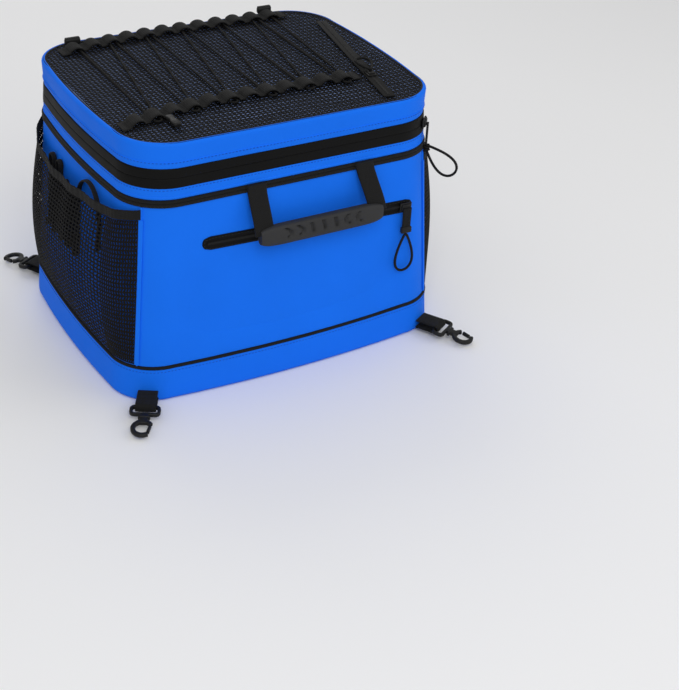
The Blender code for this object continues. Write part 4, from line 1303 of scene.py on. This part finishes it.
@dataclass
class Zips:
    """The pocket zips, all three sliders and their pulls."""

    cord: float = 0.0032
    taper: float = 1.1
    tab_thick: float = 0.0022
    tooth: tuple[float, float, float] = (0.0011, 0.0021, 0.0009)
    tooth_pitch: float = 0.0017
    lid_loop: tuple[float, float] = (0.048, 0.022)
    lid_tab: tuple[float, float] = (0.0070, 0.027)
    lid_lean: float = 50.0
    lid_drop: float = 0.0008
    pocket_loop: tuple[float, float] = (0.050, 0.022)
    pocket_tab: tuple[float, float] = (0.0120, 0.024)
    pocket_ends: tuple[float, float] = (-0.118, 0.160)
    mesh_loop: tuple[float, float] = (0.036, 0.016)
    mesh_tape_width: float = 0.014
    tape_form: tuple[tuple[float, float], ...] = (
        (0.0, GAP), (0.0, 0.0011), (0.0006, 0.0017), (0.0030, 0.0019), (0.0036, 0.0014), (0.0062, 0.0014))
    tape_stitch: tuple[float, float] = (0.0018, 0.0020)
    teeth_inset: float = 0.006
    teeth_apart: float = 0.0007
    end_share: float = 0.8
    teeth_proud: float = 0.0018
    tooth_round: float = 0.0003
    mesh_ends: tuple[float, float] = (0.004, 0.0001)
    knot_radius: float = 0.0032
    knot_top: float = 0.0022
    knot_turns: float = 2.5
    knot_fall: float = 0.0007
    knot_drop: float = 0.0015
    crimps: tuple[float, ...] = (-0.28, 0.0, 0.28)
    crimp_form: tuple[float, float, float] = (0.96, 0.0006, 0.0009)
    slider_plates: tuple[tuple[tuple[float, float, float], float, float], ...] = (
        ((0.0160, 0.0110, 0.0022), 0.0008, -0.0010), ((0.0120, 0.0078, 0.0022), 0.0009, 0.0008))
    horn: tuple[float, float, float] = (0.0036, 0.0024, 0.0030)
    horn_round: float = 0.0007
    horn_place: tuple[float, float, float] = (0.0052, 0.0036, -0.0004)
    bridge: tuple[float, float] = (0.0026, 0.0008)
    bridge_arch: tuple[float, float, float] = (0.0046, 0.0007, 0.0012)

    def build(self) -> None:
        """Make every zip and pull."""
        self.build_pocket_zip()
        self.build_mesh_zip()
        self.build_lid_pull()
        self.build_pocket_pull()
        self.build_mesh_pull()

    def loop_path(self, size: tuple[float, float], top: Vector, fall: Vector, across: Vector) -> list[Vector]:
        """A closed pear-shaped loop.

        Args:
            size: Length and width of the loop.
            top: Its upper point.
            fall: Direction that it hangs in.
            across: Direction of its width.

        Returns:
            The loop's points.
        """
        path = []
        for turn in Maker.turns(40):
            share = (1.0 - math.cos(turn)) / 2
            reach = size[1] / 2 * (1.0 + self.taper * (share - 0.5))
            path.append(top + fall * size[0] * share + across * math.sin(turn) * reach)
        return path

    def slider(self, node: str, along: Vector, out: Vector, body: str) -> None:
        """Make a cast slider: a waisted body with a bridge over it.

        Args:
            node: CAD node that it stands for.
            along: Direction of the zip.
            out: Direction off the zip.
            body: Body that it rides on.
        """
        place = Maker.place(NodeBox.of(node).middle, along, out)
        plates = [Maker.block(size, edge, place @ shift(0.0, 0.0, rise))
                  for size, edge, rise in self.slider_plates]
        x, y, z = self.horn_place
        horns = [Maker.block(self.horn, self.horn_round, place @ shift(x, end, z)) for end in (-y, y)]
        reach, level, rise = self.bridge_arch
        arch = [place @ Vector((reach * math.cos(a), 0.0, level + rise * math.sin(a)))
                for a in spread(0.0, math.pi, 10)]
        bridge = Maker.bar(arch, Maker.strap_section(*self.bridge, 2), place.to_3x3() @ REARWARD)
        cast = Maker.join(plates + [bridge] + horns)
        Maker.piece(node + "_cast", cast, PLASTIC, body, (node,), MOULD_CREASE)

    def tab(self, hinge: Vector, fall: Vector, across: Vector,
            size: tuple[float, float]) -> bmesh.types.BMesh:
        """A flat webbing tab that hangs straight from the hinge."""
        path = [hinge + fall * reach for reach in spread(0.0, size[1], 10)]
        return Maker.bar(path, Maker.strap_section(size[0], self.tab_thick, 4), across)

    def teeth(self, start: Vector, end: Vector, out: Vector) -> bmesh.types.BMesh:
        """Two rows of zip teeth that mesh along a line.

        Args:
            start: One end of the line.
            end: The other end.
            out: Direction off the zip.

        Returns:
            The teeth.
        """
        parts = []
        along = (end - start).normalized()
        side = out.cross(along)
        for i, (spot, way) in enumerate(Maker.even([start, end], self.tooth_pitch / 2)):
            aside = side * (self.teeth_apart if i % 2 else -self.teeth_apart)
            place = Maker.place(spot + aside, way, out)
            parts.append(Maker.block(self.tooth, self.tooth_round, place, 1))
        return Maker.join(parts)

    def build_pocket_zip(self) -> None:
        """Make the front pocket's tape with rounded ends, its raised edge and its teeth."""
        box = NodeBox.of("front_pocket_zip_tape")
        axis = joint_axis("pocket_zip_travel")
        slope = axis.z / axis.x
        left, right = self.pocket_ends
        half = (box.size.z - abs(slope) * (right - left)) / 2
        centre_z = box.middle.z
        rings = [self.stadium(left + inset, right - inset, half - inset, centre_z, slope, out)
                 for inset, out in self.tape_form]
        tape = Maker.skin(rings, False, True)
        Maker.piece("pocket_zip_tape", tape, ZIP, Body.BAG, ("front_pocket_zip_tape",), MOULD_CREASE)
        ends = []
        for x in (left + self.teeth_inset, right - self.teeth_inset):
            z = centre_z + slope * (x - (left + right) / 2)
            ends.append(Vector((x, OUTLINE.front_y(x, z) - self.teeth_proud, z)))
        Maker.piece("pocket_zip_teeth", self.teeth(*ends, -REARWARD), TEETH, Body.BAG)
        inset, out = self.tape_stitch
        edge = self.stadium(left + inset, right - inset, half - inset, centre_z, slope, out)
        row = Maker.stitches(Maker.even(edge, 0.0040, True), lambda place: -REARWARD)
        Maker.piece("pocket_zip_stitches", row, BLACK_THREAD, Body.BAG)

    def stadium(self, left: float, right: float, half: float, centre_z: float, slope: float,
                out: float) -> Ring:
        """A ring with round ends on the front skin.

        Args:
            left: Its left end.
            right: Its right end.
            half: Half its height.
            centre_z: Height of its middle.
            slope: Rise for each metre across.
            out: Distance off the skin.

        Returns:
            The ring's points.
        """
        ring = []
        middle = (left + right) / 2
        flat = (right - left) / 2 - half
        for turn in Maker.turns(96):
            cos, sin = math.cos(turn), math.sin(turn)
            x = middle + math.copysign(flat, cos) + half * cos
            if abs(cos) < self.end_share:
                x = middle + (flat + half * self.end_share) * cos / self.end_share
            over = max(abs(x - middle) - flat, 0.0) / half
            rise = half * math.copysign(math.sqrt(max(1.0 - over ** 2, 0.0)), sin)
            z = centre_z + slope * (x - middle) + rise
            ring.append(Vector((x, OUTLINE.front_y(x, z) - out, z)))
        return ring

    def build_mesh_zip(self) -> None:
        """Make the zip that opens the lid's net."""
        box = NodeBox.of("mesh_zip_tape")
        size, middle = box.size, box.middle
        along = joint_axis("mesh_zip_travel")
        length = (size.y - self.mesh_tape_width * abs(along.x)) / along.y
        tape = Maker.block((length, self.mesh_tape_width, size.z), 0.0006, Maker.place(middle, along, UP))
        Maker.piece("net_zip_tape", tape, BINDING, Body.LID, ("mesh_zip_tape",))
        reach, level = length / 2 - self.mesh_ends[0], UP * (size.z / 2 + self.mesh_ends[1])
        ends = [middle + along * end + level for end in (-reach, reach)]
        Maker.piece("net_zip_teeth", self.teeth(*ends, UP), TEETH, Body.LID)

    def build_lid_pull(self) -> None:
        """Make the main zip's slider, tab and cord loop at the front right corner."""
        hinge = joint_place("lid_pull_swing")
        along = -joint_axis("lid_pull_swing")
        out = along.cross(UP)
        self.slider("lid_zip_slider", along, out, "lid_slider")
        tab = self.tab(hinge, -UP, along, self.lid_tab)
        Maker.piece("main_pull_tab", tab, STRAP, "lid_pull", ("lid_pull_tab",))
        lean = math.radians(self.lid_lean)
        fall = out * math.sin(lean) - UP * math.cos(lean)
        top = hinge - UP * (self.lid_tab[1] + GAP + self.cord / 2 + self.lid_drop)
        side = out * math.cos(lean) + UP * math.sin(lean)
        loop = Maker.tube(self.loop_path(self.lid_loop, top, fall, side), self.cord / 2, True)
        Maker.piece("main_pull_cord", loop, CORD, "lid_pull", ("lid_pull_loop",), ROUND_CREASE)
        self.build_knot("main_pull_knot", top + fall * self.knot_drop, "lid_pull")

    def build_knot(self, name: str, middle: Vector, body: str) -> None:
        """Make the tight wrap where a loop is tied on.

        Args:
            name: Name of the piece.
            middle: Its middle.
            body: Body that it rides on.
        """
        radius = self.knot_radius
        path = []
        for turn in spread(0.0, 2.0 * math.pi * self.knot_turns, 60):
            rise = self.knot_top - self.knot_fall * turn / 1.5
            path.append(middle + Vector((radius * math.cos(turn), radius * math.sin(turn), rise)))
        Maker.piece(name, Maker.tube(path, self.cord / 3, False, 8), CORD, body, (), ROUND_CREASE)

    def build_pocket_pull(self) -> None:
        """Make the front pocket's slider, tab, ferrule and cord loop."""
        hinge = joint_place("pocket_pull_swing")
        right = -joint_axis("pocket_pull_swing")
        out = right.cross(UP)
        self.slider("pocket_zip_slider", -joint_axis("pocket_zip_travel"), out, "pocket_slider")
        tab = self.tab(hinge, -UP, right, self.pocket_tab)
        Maker.piece("pocket_tab", tab, STRAP, "pocket_pull", ("pocket_pull_tab",))
        box = NodeBox.of("pocket_pull_ferrule")
        size, middle = box.size, box.middle
        crimp = [Maker.block(size, 0.0016, Matrix.Translation(middle))]
        share, more, tall = self.crimp_form
        form = (size.x * share, size.y + more, tall)
        crimp += [Maker.block(form, self.tooth_round, Matrix.Translation(middle + UP * size.z * level), 2)
                  for level in self.crimps]
        ferrule = Maker.join(crimp)
        Maker.piece("pocket_ferrule", ferrule, PLASTIC, "pocket_pull", ("pocket_pull_ferrule",), MOULD_CREASE)
        top = Vector((hinge.x, hinge.y, box.low.z - GAP - self.cord / 2))
        loop = Maker.tube(self.loop_path(self.pocket_loop, top, -UP, right), self.cord / 2, True)
        Maker.piece("pocket_pull_cord", loop, CORD, "pocket_pull", ("pocket_pull_loop",), ROUND_CREASE)

    def build_mesh_pull(self) -> None:
        """Make the slider and cord loop of the zip on the net."""
        hinge = joint_place("mesh_pull_swing")
        along = joint_axis("mesh_zip_travel")
        self.slider("mesh_zip_slider", along, UP, "mesh_slider")
        path = self.loop_path(self.mesh_loop, hinge, along, joint_axis("mesh_pull_swing"))
        loop = Maker.tube(path, self.cord / 2, True)
        Maker.piece("net_pull_cord", loop, CORD, "mesh_pull", ("mesh_pull_loop",), ROUND_CREASE)


@dataclass
class Handle:
    """A carry handle: two webbing straps and a moulded grip."""

    facing: Facing
    strap_width: float = 0.024
    strap_thick: float = 0.0026
    strap_foot: float = 0.010
    grooves: tuple[int, ...] = (1, 1, 0, 0, 0, -1, -1)
    groove_pitch: float = 0.0155
    groove_depth: float = 0.0036
    groove_width: float = 0.0021
    groove_bend: tuple[float, float] = (0.005, 1.1)
    groove_slant: float = 0.25
    rib_height: float = 0.0013
    rib_width: float = 0.0013
    rib_reach: float = 0.068
    stations: int = 160
    end_taper: tuple[float, float] = (10.0, 0.35)
    face_from: float = 0.25

    @property
    def name(self) -> str:
        """Name of the handle's body, and start of its nodes' names."""
        return self.facing.name.lower() + "_handle"

    def build(self) -> None:
        """Make the straps and the grip."""
        for side in Side:
            self.build_strap(side)
        self.build_grip()

    def build_strap(self, side: Side) -> None:
        """Make one strap.

        Args:
            side: Side of the handle, seen from outside.
        """
        node = f"{self.name}_strap_{side.name.lower()}"
        box = NodeBox.of(node)
        hinge = joint_place(self.name + "_swing")
        lean = box.size.x - self.strap_width
        x_top = box.low.x + self.strap_width / 2
        swing = NodeBox.of(self.name + "_grip").middle.y - hinge.y
        drop = box.low.z - self.strap_foot - box.high.z
        path = [Vector((x_top + lean * share, hinge.y + swing * ease(share), box.high.z + drop * share))
                for share in spread(0.0, 1.0, 24)]
        strap = Maker.bar(path, Maker.strap_section(self.strap_width, self.strap_thick), ACROSS)
        Maker.piece(node + "_webbing", strap, STRAP, self.name, (node,), ROUND_CREASE)

    def build_grip(self) -> None:
        """Make the grip, with chevron grooves and a raised rib along its outer face."""
        node = self.name + "_grip"
        box = NodeBox.of(node)
        half, middle = box.size / 2, box.middle
        out = float(self.facing.value)
        power, taper = self.end_taper
        rings = []
        for along in spread(-1.0, 1.0, self.stations):
            full = 1.0 - abs(along) ** power * taper
            ring = []
            for angle, (a, b) in zip(Maker.turns(48), Maker.squircle(48, 0.6)):
                x, y, z = along * half.x, half.y * full * a, half.z * full * b
                if math.cos(angle) * out > self.face_from:
                    y += out * self.relief(x, z, box.size.z)
                ring.append(middle + Vector((x, y, z)))
            rings.append(ring)
        Maker.piece(node + "_rubber", Maker.skin(rings, False, True), GRIP, self.name, (node,), ROUND_CREASE)

    def relief(self, x: float, z: float, height: float) -> float:
        """Height of the grip's outer face.

        Args:
            x: Place along the grip, from its middle.
            z: Place up the grip, from its middle.
            height: Height of the grip.

        Returns:
            Rise of the face, negative in a groove.
        """
        rib_z = -height * 0.26
        rise = 0.0
        if abs(x) < self.rib_reach:
            rise = self.rib_height * math.exp(-((z - rib_z) / self.rib_width) ** 2)
        band = z - height * 0.08
        if abs(band) > height * 0.25:
            return rise
        reach, fall = self.groove_bend
        for i, bend in enumerate(self.grooves):
            line = (i - (len(self.grooves) - 1) / 2) * self.groove_pitch
            line += bend * (reach - abs(band) * fall) - band * self.groove_slant
            rise -= self.groove_depth * math.exp(-((x - line) / self.groove_width) ** 2)
        return rise


@dataclass
class SidePocket:
    """A stretch-net pocket with an elastic hem on one side of the body."""

    side: Side
    bulge: float = 0.020
    tuck: float = 0.85
    folds: float = 7.0
    fold_height: float = 0.0012
    hem_sag: float = 0.010
    rear_sag: float = 0.012
    hem_rise: float = 0.0006
    hem_height: float = 0.0120
    hem_thick: float = 0.0016
    welt_width: float = 0.006
    seat_off: float = 0.0012
    swell_power: float = 0.8
    rear_lean: float = 0.62
    end_share: float = 0.25
    gather: float = 0.0004
    gather_steps: float = 5.0
    net_pitch: tuple[float, float] = (0.0052, 0.0050)
    net_yarn: float = 0.40
    net_thick: float = 0.0005

    def __post_init__(self) -> None:
        """Read the pocket's levels from the frame."""
        self.word = self.side.name.lower()
        self.bottom = node_span(self.word + "_pocket_mesh")[0]
        self.hem_ends = node_span(self.word + "_pocket_hem")[1] - self.hem_height - self.hem_rise
        self.first = (0 if self.side is Side.RIGHT else 2 * OUTLINE.block) + OUTLINE.arc_steps / 2
        self.reach = OUTLINE.block

    def point(self, share: float, row: float) -> Vector:
        """Place on the pocket.

        Args:
            share: Place along the pocket, from 0 to 1.
            row: Place up the pocket, from 0 to 1.

        Returns:
            The place.
        """
        share = min(max(share, 0.0), 1.0)
        wave = math.sin(math.pi * share)
        from_rear = 1.0 - share if self.side is Side.RIGHT else share
        rear = math.sin(math.pi * from_rear ** self.rear_lean) ** 3
        hem = self.hem_ends - self.hem_sag * wave - self.rear_sag * max(rear, 0.0)
        z = self.bottom + (hem - self.bottom) * row
        seat = self.first + self.seat_share(share) * self.reach
        here = OUTLINE.point(z, 0.0, seat)
        swell = self.bulge * wave * max(math.sin(math.pi * self.tuck * row), 0.0) ** self.swell_power
        swell += self.fold_height * wave * row * math.sin(2.0 * math.pi * (self.folds * share + 0.4 * row))
        return here + OUTLINE.outward(seat, z) * (self.seat_off + swell)

    def seat_share(self, share: float) -> float:
        """Share of the outline's seats for an even share of the pocket's length, as in the solid's steps."""
        arc = OUTLINE.arc_steps / 2 / OUTLINE.block
        end = self.end_share
        if share < end:
            return share / end * arc
        if share > 1.0 - end:
            return 1.0 - (1.0 - share) / end * arc
        return arc + (share - end) / (1.0 - 2.0 * end) * (1.0 - 2.0 * arc)

    def build(self) -> None:
        """Make the pocket's net, hem and seam welts."""
        length = Maker.distances([self.point(i / 40, 0.7) for i in range(41)])[-1]
        height = self.hem_ends - self.hem_sag / 2 - self.bottom
        net = Net(self.net_pitch, self.net_yarn, self.net_thick)
        name = self.word + "_pocket"
        piece = net.build(name + "_net", self.point, (length, height), Body.BAG, name + "_mesh")
        hem = self.build_hem(name)
        welts = self.build_welts(name)

    def build_hem(self, name: str) -> bpy.types.Object:
        """Make the flat, slightly gathered elastic hem.

        Args:
            name: Start of the piece's name.

        Returns:
            The hem.
        """
        rings = []
        steps = 180
        section = Maker.strap_section(self.hem_height, self.hem_thick, 6)
        for i in range(steps + 1):
            share = i / steps
            ahead = self.point(min(share + 0.01, 1.0), 1.0) - self.point(max(share - 0.01, 0.0), 1.0)
            side = ahead.cross(UP).normalized()
            gather = self.gather * math.sin(i * 2.0 * math.pi / self.gather_steps) * math.sin(math.pi * share)
            here = self.point(share, 1.0) + UP * (self.hem_height / 2 + self.hem_rise) + side * gather
            rings.append([here + UP * a + side * b for a, b in section])
        hem = Maker.skin(rings, False, True)
        return Maker.piece(name + "_elastic", hem, ELASTIC, Body.BAG, (name + "_hem",), ROUND_CREASE)

    def build_welts(self, name: str) -> bpy.types.Object:
        """Make the flat blue welts along the pocket's two end seams.

        Args:
            name: Start of the piece's name.

        Returns:
            The welts.
        """
        section = Maker.strap_section(self.welt_width, SKIN, 4)
        parts = []
        for share in (0.0, 1.0):
            rings = []
            for row in spread(0.0, 1.0, 24):
                here = self.point(share, row)
                out = OUTLINE.level_out(here)
                side = UP.cross(out).normalized()
                rings.append([here + side * a + out * b for a, b in section])
            parts.append(Maker.skin(rings, False, True))
        return Maker.piece(name + "_welts", Maker.join(parts), BLUE, Body.BAG, (), ROUND_CREASE)


@dataclass
class StowedStrap:
    """The shoulder strap, folded away in the left pocket with one bight standing out of it."""

    width: float = 0.006
    thick: float = 0.0024
    fold_drop: float = 0.0397
    fold_length: float = 0.070
    fold_step: float = 0.011
    folds: int = 5
    first_y: float = 0.076
    rear_rise: float = 0.016
    arch_drop: float = 0.0055
    arch_span: float = 0.064
    raised_folds: int = 2

    def build(self) -> None:
        """Make the strap."""
        skin_top = node_span("body_shell")[1]
        stand = OUTLINE.side_bow + GAP + self.width / 2
        top = skin_top - self.fold_drop
        bottom = top - self.fold_length
        radius = self.fold_step / 2
        path = []
        for fold in range(self.folds):
            y = self.first_y - 2 * self.fold_step * fold
            path += self.turn(y - radius, bottom, radius, -1.0)
            if fold < self.folds - 1:
                rise = self.rear_rise if fold < self.raised_folds else 0.0
                path += self.turn(y - 3 * radius, top + rise, radius, 1.0)
        start = path[-1][0]
        half = self.arch_span / 2
        rise = skin_top - self.arch_drop - top
        for angle in spread(0.0, math.pi, 24):
            path.append((start - half + half * math.cos(angle), top + rise * math.sin(angle)))
        path.append((start - self.arch_span, (top + bottom) / 2))
        points = [Vector((-OUTLINE.half_sizes(z)[0] - stand, y, z)) for y, z in path]
        strap = Maker.bar(points, Maker.strap_section(self.width, self.thick), ACROSS)
        Maker.piece("stowed_strap", strap, STRAP, Body.BAG, ("shoulder_strap",), ROUND_CREASE)

    @staticmethod
    def turn(y: float, z: float, radius: float, up: float) -> list[tuple[float, float]]:
        """Half a turn of the strap, from front to rear side, over the top (1) or round the foot (-1)."""
        return [(y + radius * math.cos(a), z + up * radius * math.sin(a)) for a in spread(0.0, math.pi, 12)]


@dataclass
class TieDown:
    """A webbing tab at one base corner, with its snap hook and the hook's sprung gate."""

    corner: str
    tab_width: float = 0.024
    tab_length: float = 0.026
    plate: float = 0.0050
    bar: float = 0.0050
    slot: tuple[float, float] = (0.0080, 0.0280)
    frame_bar: float = 0.0040
    shank: tuple[float, float] = (0.010, 0.0130)
    ring_outer: float = 0.0135
    ring_inner: float = 0.0080
    mouth: tuple[float, float] = (35.0, 125.0)
    dip: float = 7.0
    gate_thick: float = 0.0034
    gate_play: float = 0.0006
    eye_round: float = 0.004
    shank_root: tuple[float, float] = (0.004, 0.001)
    collar: tuple[float, float, float] = (0.004, 0.004, 0.0016)
    collar_place: float = 0.003
    edge_rounds: tuple[float, float] = (0.0016, 0.0014)
    stitch_rows: tuple[float, float] = (0.30, 0.62)
    stitch_reach: float = 0.4

    def __post_init__(self) -> None:
        """Find the hook's own directions from its joint."""
        swing = f"hook_{self.corner}_swing"
        self.pivot = joint_place(swing)
        self.across = -joint_axis(swing)
        self.outward = self.across.cross(UP)
        dip = math.radians(self.dip)
        reach = self.outward * math.cos(dip) - UP * math.sin(dip)
        self.frame = Maker.place(self.pivot, reach, reach.cross(self.across)) @ shift(-self.bar / 2, 0.0, 0.0)
        self.normal = self.frame.to_3x3() @ UP
        self.eye_end = self.bar + self.slot[0] + self.frame_bar
        self.ring_middle = self.eye_end + self.shank[1] + self.ring_inner
        self.ring_radius = (self.ring_inner + self.ring_outer) / 2

    def build(self) -> None:
        """Make the tab, the hook and the gate."""
        self.build_tab()
        self.build_hook()
        self.build_gate()

    def build_tab(self) -> None:
        """Make the tab that is folded round the hook's bar, and its stitches."""
        root = self.pivot - self.outward * self.tab_length
        wrap = math.hypot(self.plate, self.bar) / 2 + GAP + WEBBING_THICK / 2
        path = [root + UP * wrap + self.outward * self.tab_length * i / 6 for i in range(6)]
        for bend in spread(math.pi / 2, -math.pi / 2, 16):
            path.append(self.pivot + self.outward * wrap * math.cos(bend) + UP * wrap * math.sin(bend))
        path += [root - UP * wrap + self.outward * self.tab_length * (5 - i) / 6 for i in range(6)]
        strap = Maker.bar(path, Maker.strap_section(self.tab_width, WEBBING_THICK), self.across)
        node = "tie_tab_" + self.corner
        Maker.piece(node + "_webbing", strap, STRAP, Body.BAG, (node,), ROUND_CREASE)
        rows = []
        reach = self.across * self.tab_width * self.stitch_reach
        for share in self.stitch_rows:
            middle = root + self.outward * self.tab_length * share + UP * (wrap + WEBBING_THICK / 2)
            row = [middle - reach, middle + reach]
            rows.append(Maker.stitches(Maker.even(row, 0.0032), lambda place: UP, 0.0026))
        Maker.piece(node + "_stitches", Maker.join(rows), STRAP, Body.BAG)

    def flat(self, points: Iterable[tuple[float, float]]) -> list[Vector]:
        """Points of the hook's own plane, brought into place."""
        return [self.frame @ Vector((x, y, 0.0)) for x, y in points]

    def ring_point(self, turn: float) -> tuple[float, float]:
        """Place on the ring's middle line, in the hook's own plane."""
        return self.ring_middle + self.ring_radius * math.cos(turn), self.ring_radius * math.sin(turn)

    def moulded(self, path: Sequence[Vector], width: float, cyclic: bool = False) -> bmesh.types.BMesh:
        """A moulded bar, as thick as the hook, with full rounding."""
        section = [(self.plate / 2 * b, width / 2 * a) for a, b in Maker.squircle(16, 0.55)]
        return Maker.bar(path, section, self.normal, cyclic)

    def build_hook(self) -> None:
        """Make the hook: a webbing eye, a shank and an open ring."""
        half = self.slot[1] / 2 + self.frame_bar / 2
        back, front = self.bar / 2, self.eye_end - self.frame_bar / 2
        turn = self.eye_round
        eye = []
        for (x, y), start in (((front - turn, half - turn), 0.0), ((back + turn, half - turn), 90.0),
                              ((back + turn, turn - half), 180.0), ((front - turn, turn - half), 270.0)):
            angles = [math.radians(angle) for angle in spread(start, start + 90.0, 5)]
            eye += [(x + turn * math.cos(a), y + turn * math.sin(a)) for a in angles]
        shank_wide, shank_long = self.shank
        sunk, back_by = self.shank_root
        shank = Maker.block((shank_long + sunk, shank_wide, self.plate), self.edge_rounds[0],
                            self.frame @ shift(self.eye_end + shank_long / 2 - back_by, 0.0, 0.0))
        length, wider, thicker = self.collar
        collar = Maker.block((length, shank_wide + wider, self.plate + thicker), self.edge_rounds[1],
                             self.frame @ shift(self.eye_end + self.collar_place, 0.0, 0.0))
        first, last = self.mouth
        ring_path = self.flat(self.ring_point(math.radians(a)) for a in spread(last, 360.0 + first, 40))
        ring = self.moulded(ring_path, self.ring_outer - self.ring_inner)
        hook = Maker.join([self.moulded(self.flat(eye), self.frame_bar, True), shank, collar, ring])
        node = "tie_hook_" + self.corner
        Maker.piece(node + "_moulding", hook, PLASTIC, "hook_" + self.corner, (node,), MOULD_CREASE)

    def build_gate(self) -> None:
        """Make the sprung gate."""
        node = "tie_gate_" + self.corner
        first, last = (math.radians(a) for a in self.mouth)
        start, end = (Vector((*self.ring_point(turn), 0.0)) for turn in (last, first))
        length = (end - start).length
        way = (end - start).normalized()
        clear = math.sin((last - first) / 2) * (self.ring_outer - self.ring_inner) / 2 + GAP + self.gate_play
        path = [self.frame @ (start + way * reach) for reach in spread(clear, length - clear, 12)]
        gate = self.moulded(path, self.gate_thick)
        Maker.piece(node + "_moulding", gate, PLASTIC, "gate_" + self.corner, (node,), MOULD_CREASE)


@dataclass
class Hidden:
    """Solids that stay as they are inside the bag, with their own finishes."""

    finishes: dict[str, Finish] = field(default_factory=lambda: {
        "body_insulation": FOAM, "lid_insulation": FOAM, "front_pocket_pouch": LINER})

    def dress(self) -> None:
        """Give each solid its finish."""
        for node, finish in self.finishes.items():
            obj = frame["nodes"][node]
            obj.data.materials.clear()
            obj.data.materials.append(finish.material())
            LOG.info("%s: finish %s", node, finish.name)


@dataclass
class Studio:
    """Floor, soft light and the camera at the photograph's angle."""

    place: tuple[float, float, float] = (-0.7044, -1.4051, 0.9511)
    azimuth: float = -31.9075
    elevation: float = 32.8272
    roll: float = 3.2774
    focal_pixels: float = 1400.0
    sensor: float = 36.0
    floor_size: float = 30.0
    room: float = 0.50
    aim: tuple[float, float, float] = (0.0, 0.0, 0.15)
    lamps: tuple[tuple[str, tuple[float, float, float], float, float], ...] = (
        ("key", (-0.7, -1.9, 2.0), 1.4, 24.0),
        ("fill", (1.7, -1.0, 1.3), 1.6, 7.0),
        ("rear", (0.2, 1.7, 1.7), 1.4, 8.0))

    def build(self) -> None:
        """Set up the whole studio."""
        self.build_floor()
        self.build_light()
        self.build_camera()
        bpy.context.scene.view_settings.view_transform = "Standard"

    def build_floor(self) -> None:
        """Lay the pale floor."""
        bm = bmesh.new()
        bmesh.ops.create_grid(bm, x_segments=4, y_segments=4, size=self.floor_size / 2)
        mesh = bpy.data.meshes.new("floor")
        bm.to_mesh(mesh)
        bm.free()
        mesh.materials.append(FLOOR.material())
        floor = bpy.data.objects.new("floor", mesh)
        bpy.context.scene.collection.objects.link(floor)

    def build_light(self) -> None:
        """Hang three soft lamps and set the even light of the room."""
        world = bpy.data.worlds.new("room")
        world.use_nodes = True
        background = world.node_tree.nodes["Background"]
        background.inputs["Color"].default_value = (1.0, 1.0, 1.0, 1.0)
        background.inputs["Strength"].default_value = self.room
        bpy.context.scene.world = world
        for lamp in self.lamps:
            self.lamp(*lamp)

    def lamp(self, name: str, place: tuple[float, float, float], size: float, power: float) -> None:
        """Hang one soft lamp that faces the bag.

        Args:
            name: Name of the lamp.
            place: Where it hangs.
            size: Side of its square.
            power: Its power in watts.
        """
        data = bpy.data.lights.new(name, "AREA")
        data.size = size
        data.energy = power
        obj = bpy.data.objects.new(name, data)
        obj.location = place
        aim = Vector(self.aim) - Vector(place)
        obj.rotation_euler = aim.to_track_quat("-Z", "Y").to_euler()
        bpy.context.scene.collection.objects.link(obj)

    def build_camera(self) -> None:
        """Place the camera as it stood for the photograph."""
        azimuth, elevation, roll = (math.radians(a) for a in (self.azimuth, self.elevation, self.roll))
        back = Vector((math.sin(azimuth) * math.cos(elevation), -math.cos(azimuth) * math.cos(elevation),
                       math.sin(elevation)))
        right = Vector((math.cos(azimuth), math.sin(azimuth), 0.0))
        up = back.cross(right)
        level_right = right * math.cos(roll) + up * math.sin(roll)
        level_up = up * math.cos(roll) - right * math.sin(roll)
        data = bpy.data.cameras.new("camera")
        data.sensor_width = self.sensor
        data.lens = self.focal_pixels / max(IMAGE_SIZE) * self.sensor
        camera = bpy.data.objects.new("camera", data)
        turn = Matrix((level_right, level_up, back)).transposed().to_4x4()
        camera.matrix_world = Matrix.Translation(self.place) @ turn
        bpy.context.scene.collection.objects.link(camera)
        bpy.context.scene.camera = camera


def main() -> None:
    """Build and dress the bag, then set up the studio."""
    logging.basicConfig(level=logging.INFO, format="%(name)s: %(message)s")
    Studio().build()
    Rigging().build()
    Base().build()
    BodyWall().build()
    Lid().build()
    Zips().build()
    for facing in Facing:
        Handle(facing).build()
    for side in Side:
        SidePocket(side).build()
    StowedStrap().build()
    for corner in ("front_left", "front_right", "rear_left", "rear_right"):
        TieDown(corner).build()
    Hidden().dress()


if __name__ == "__main__":
    main()
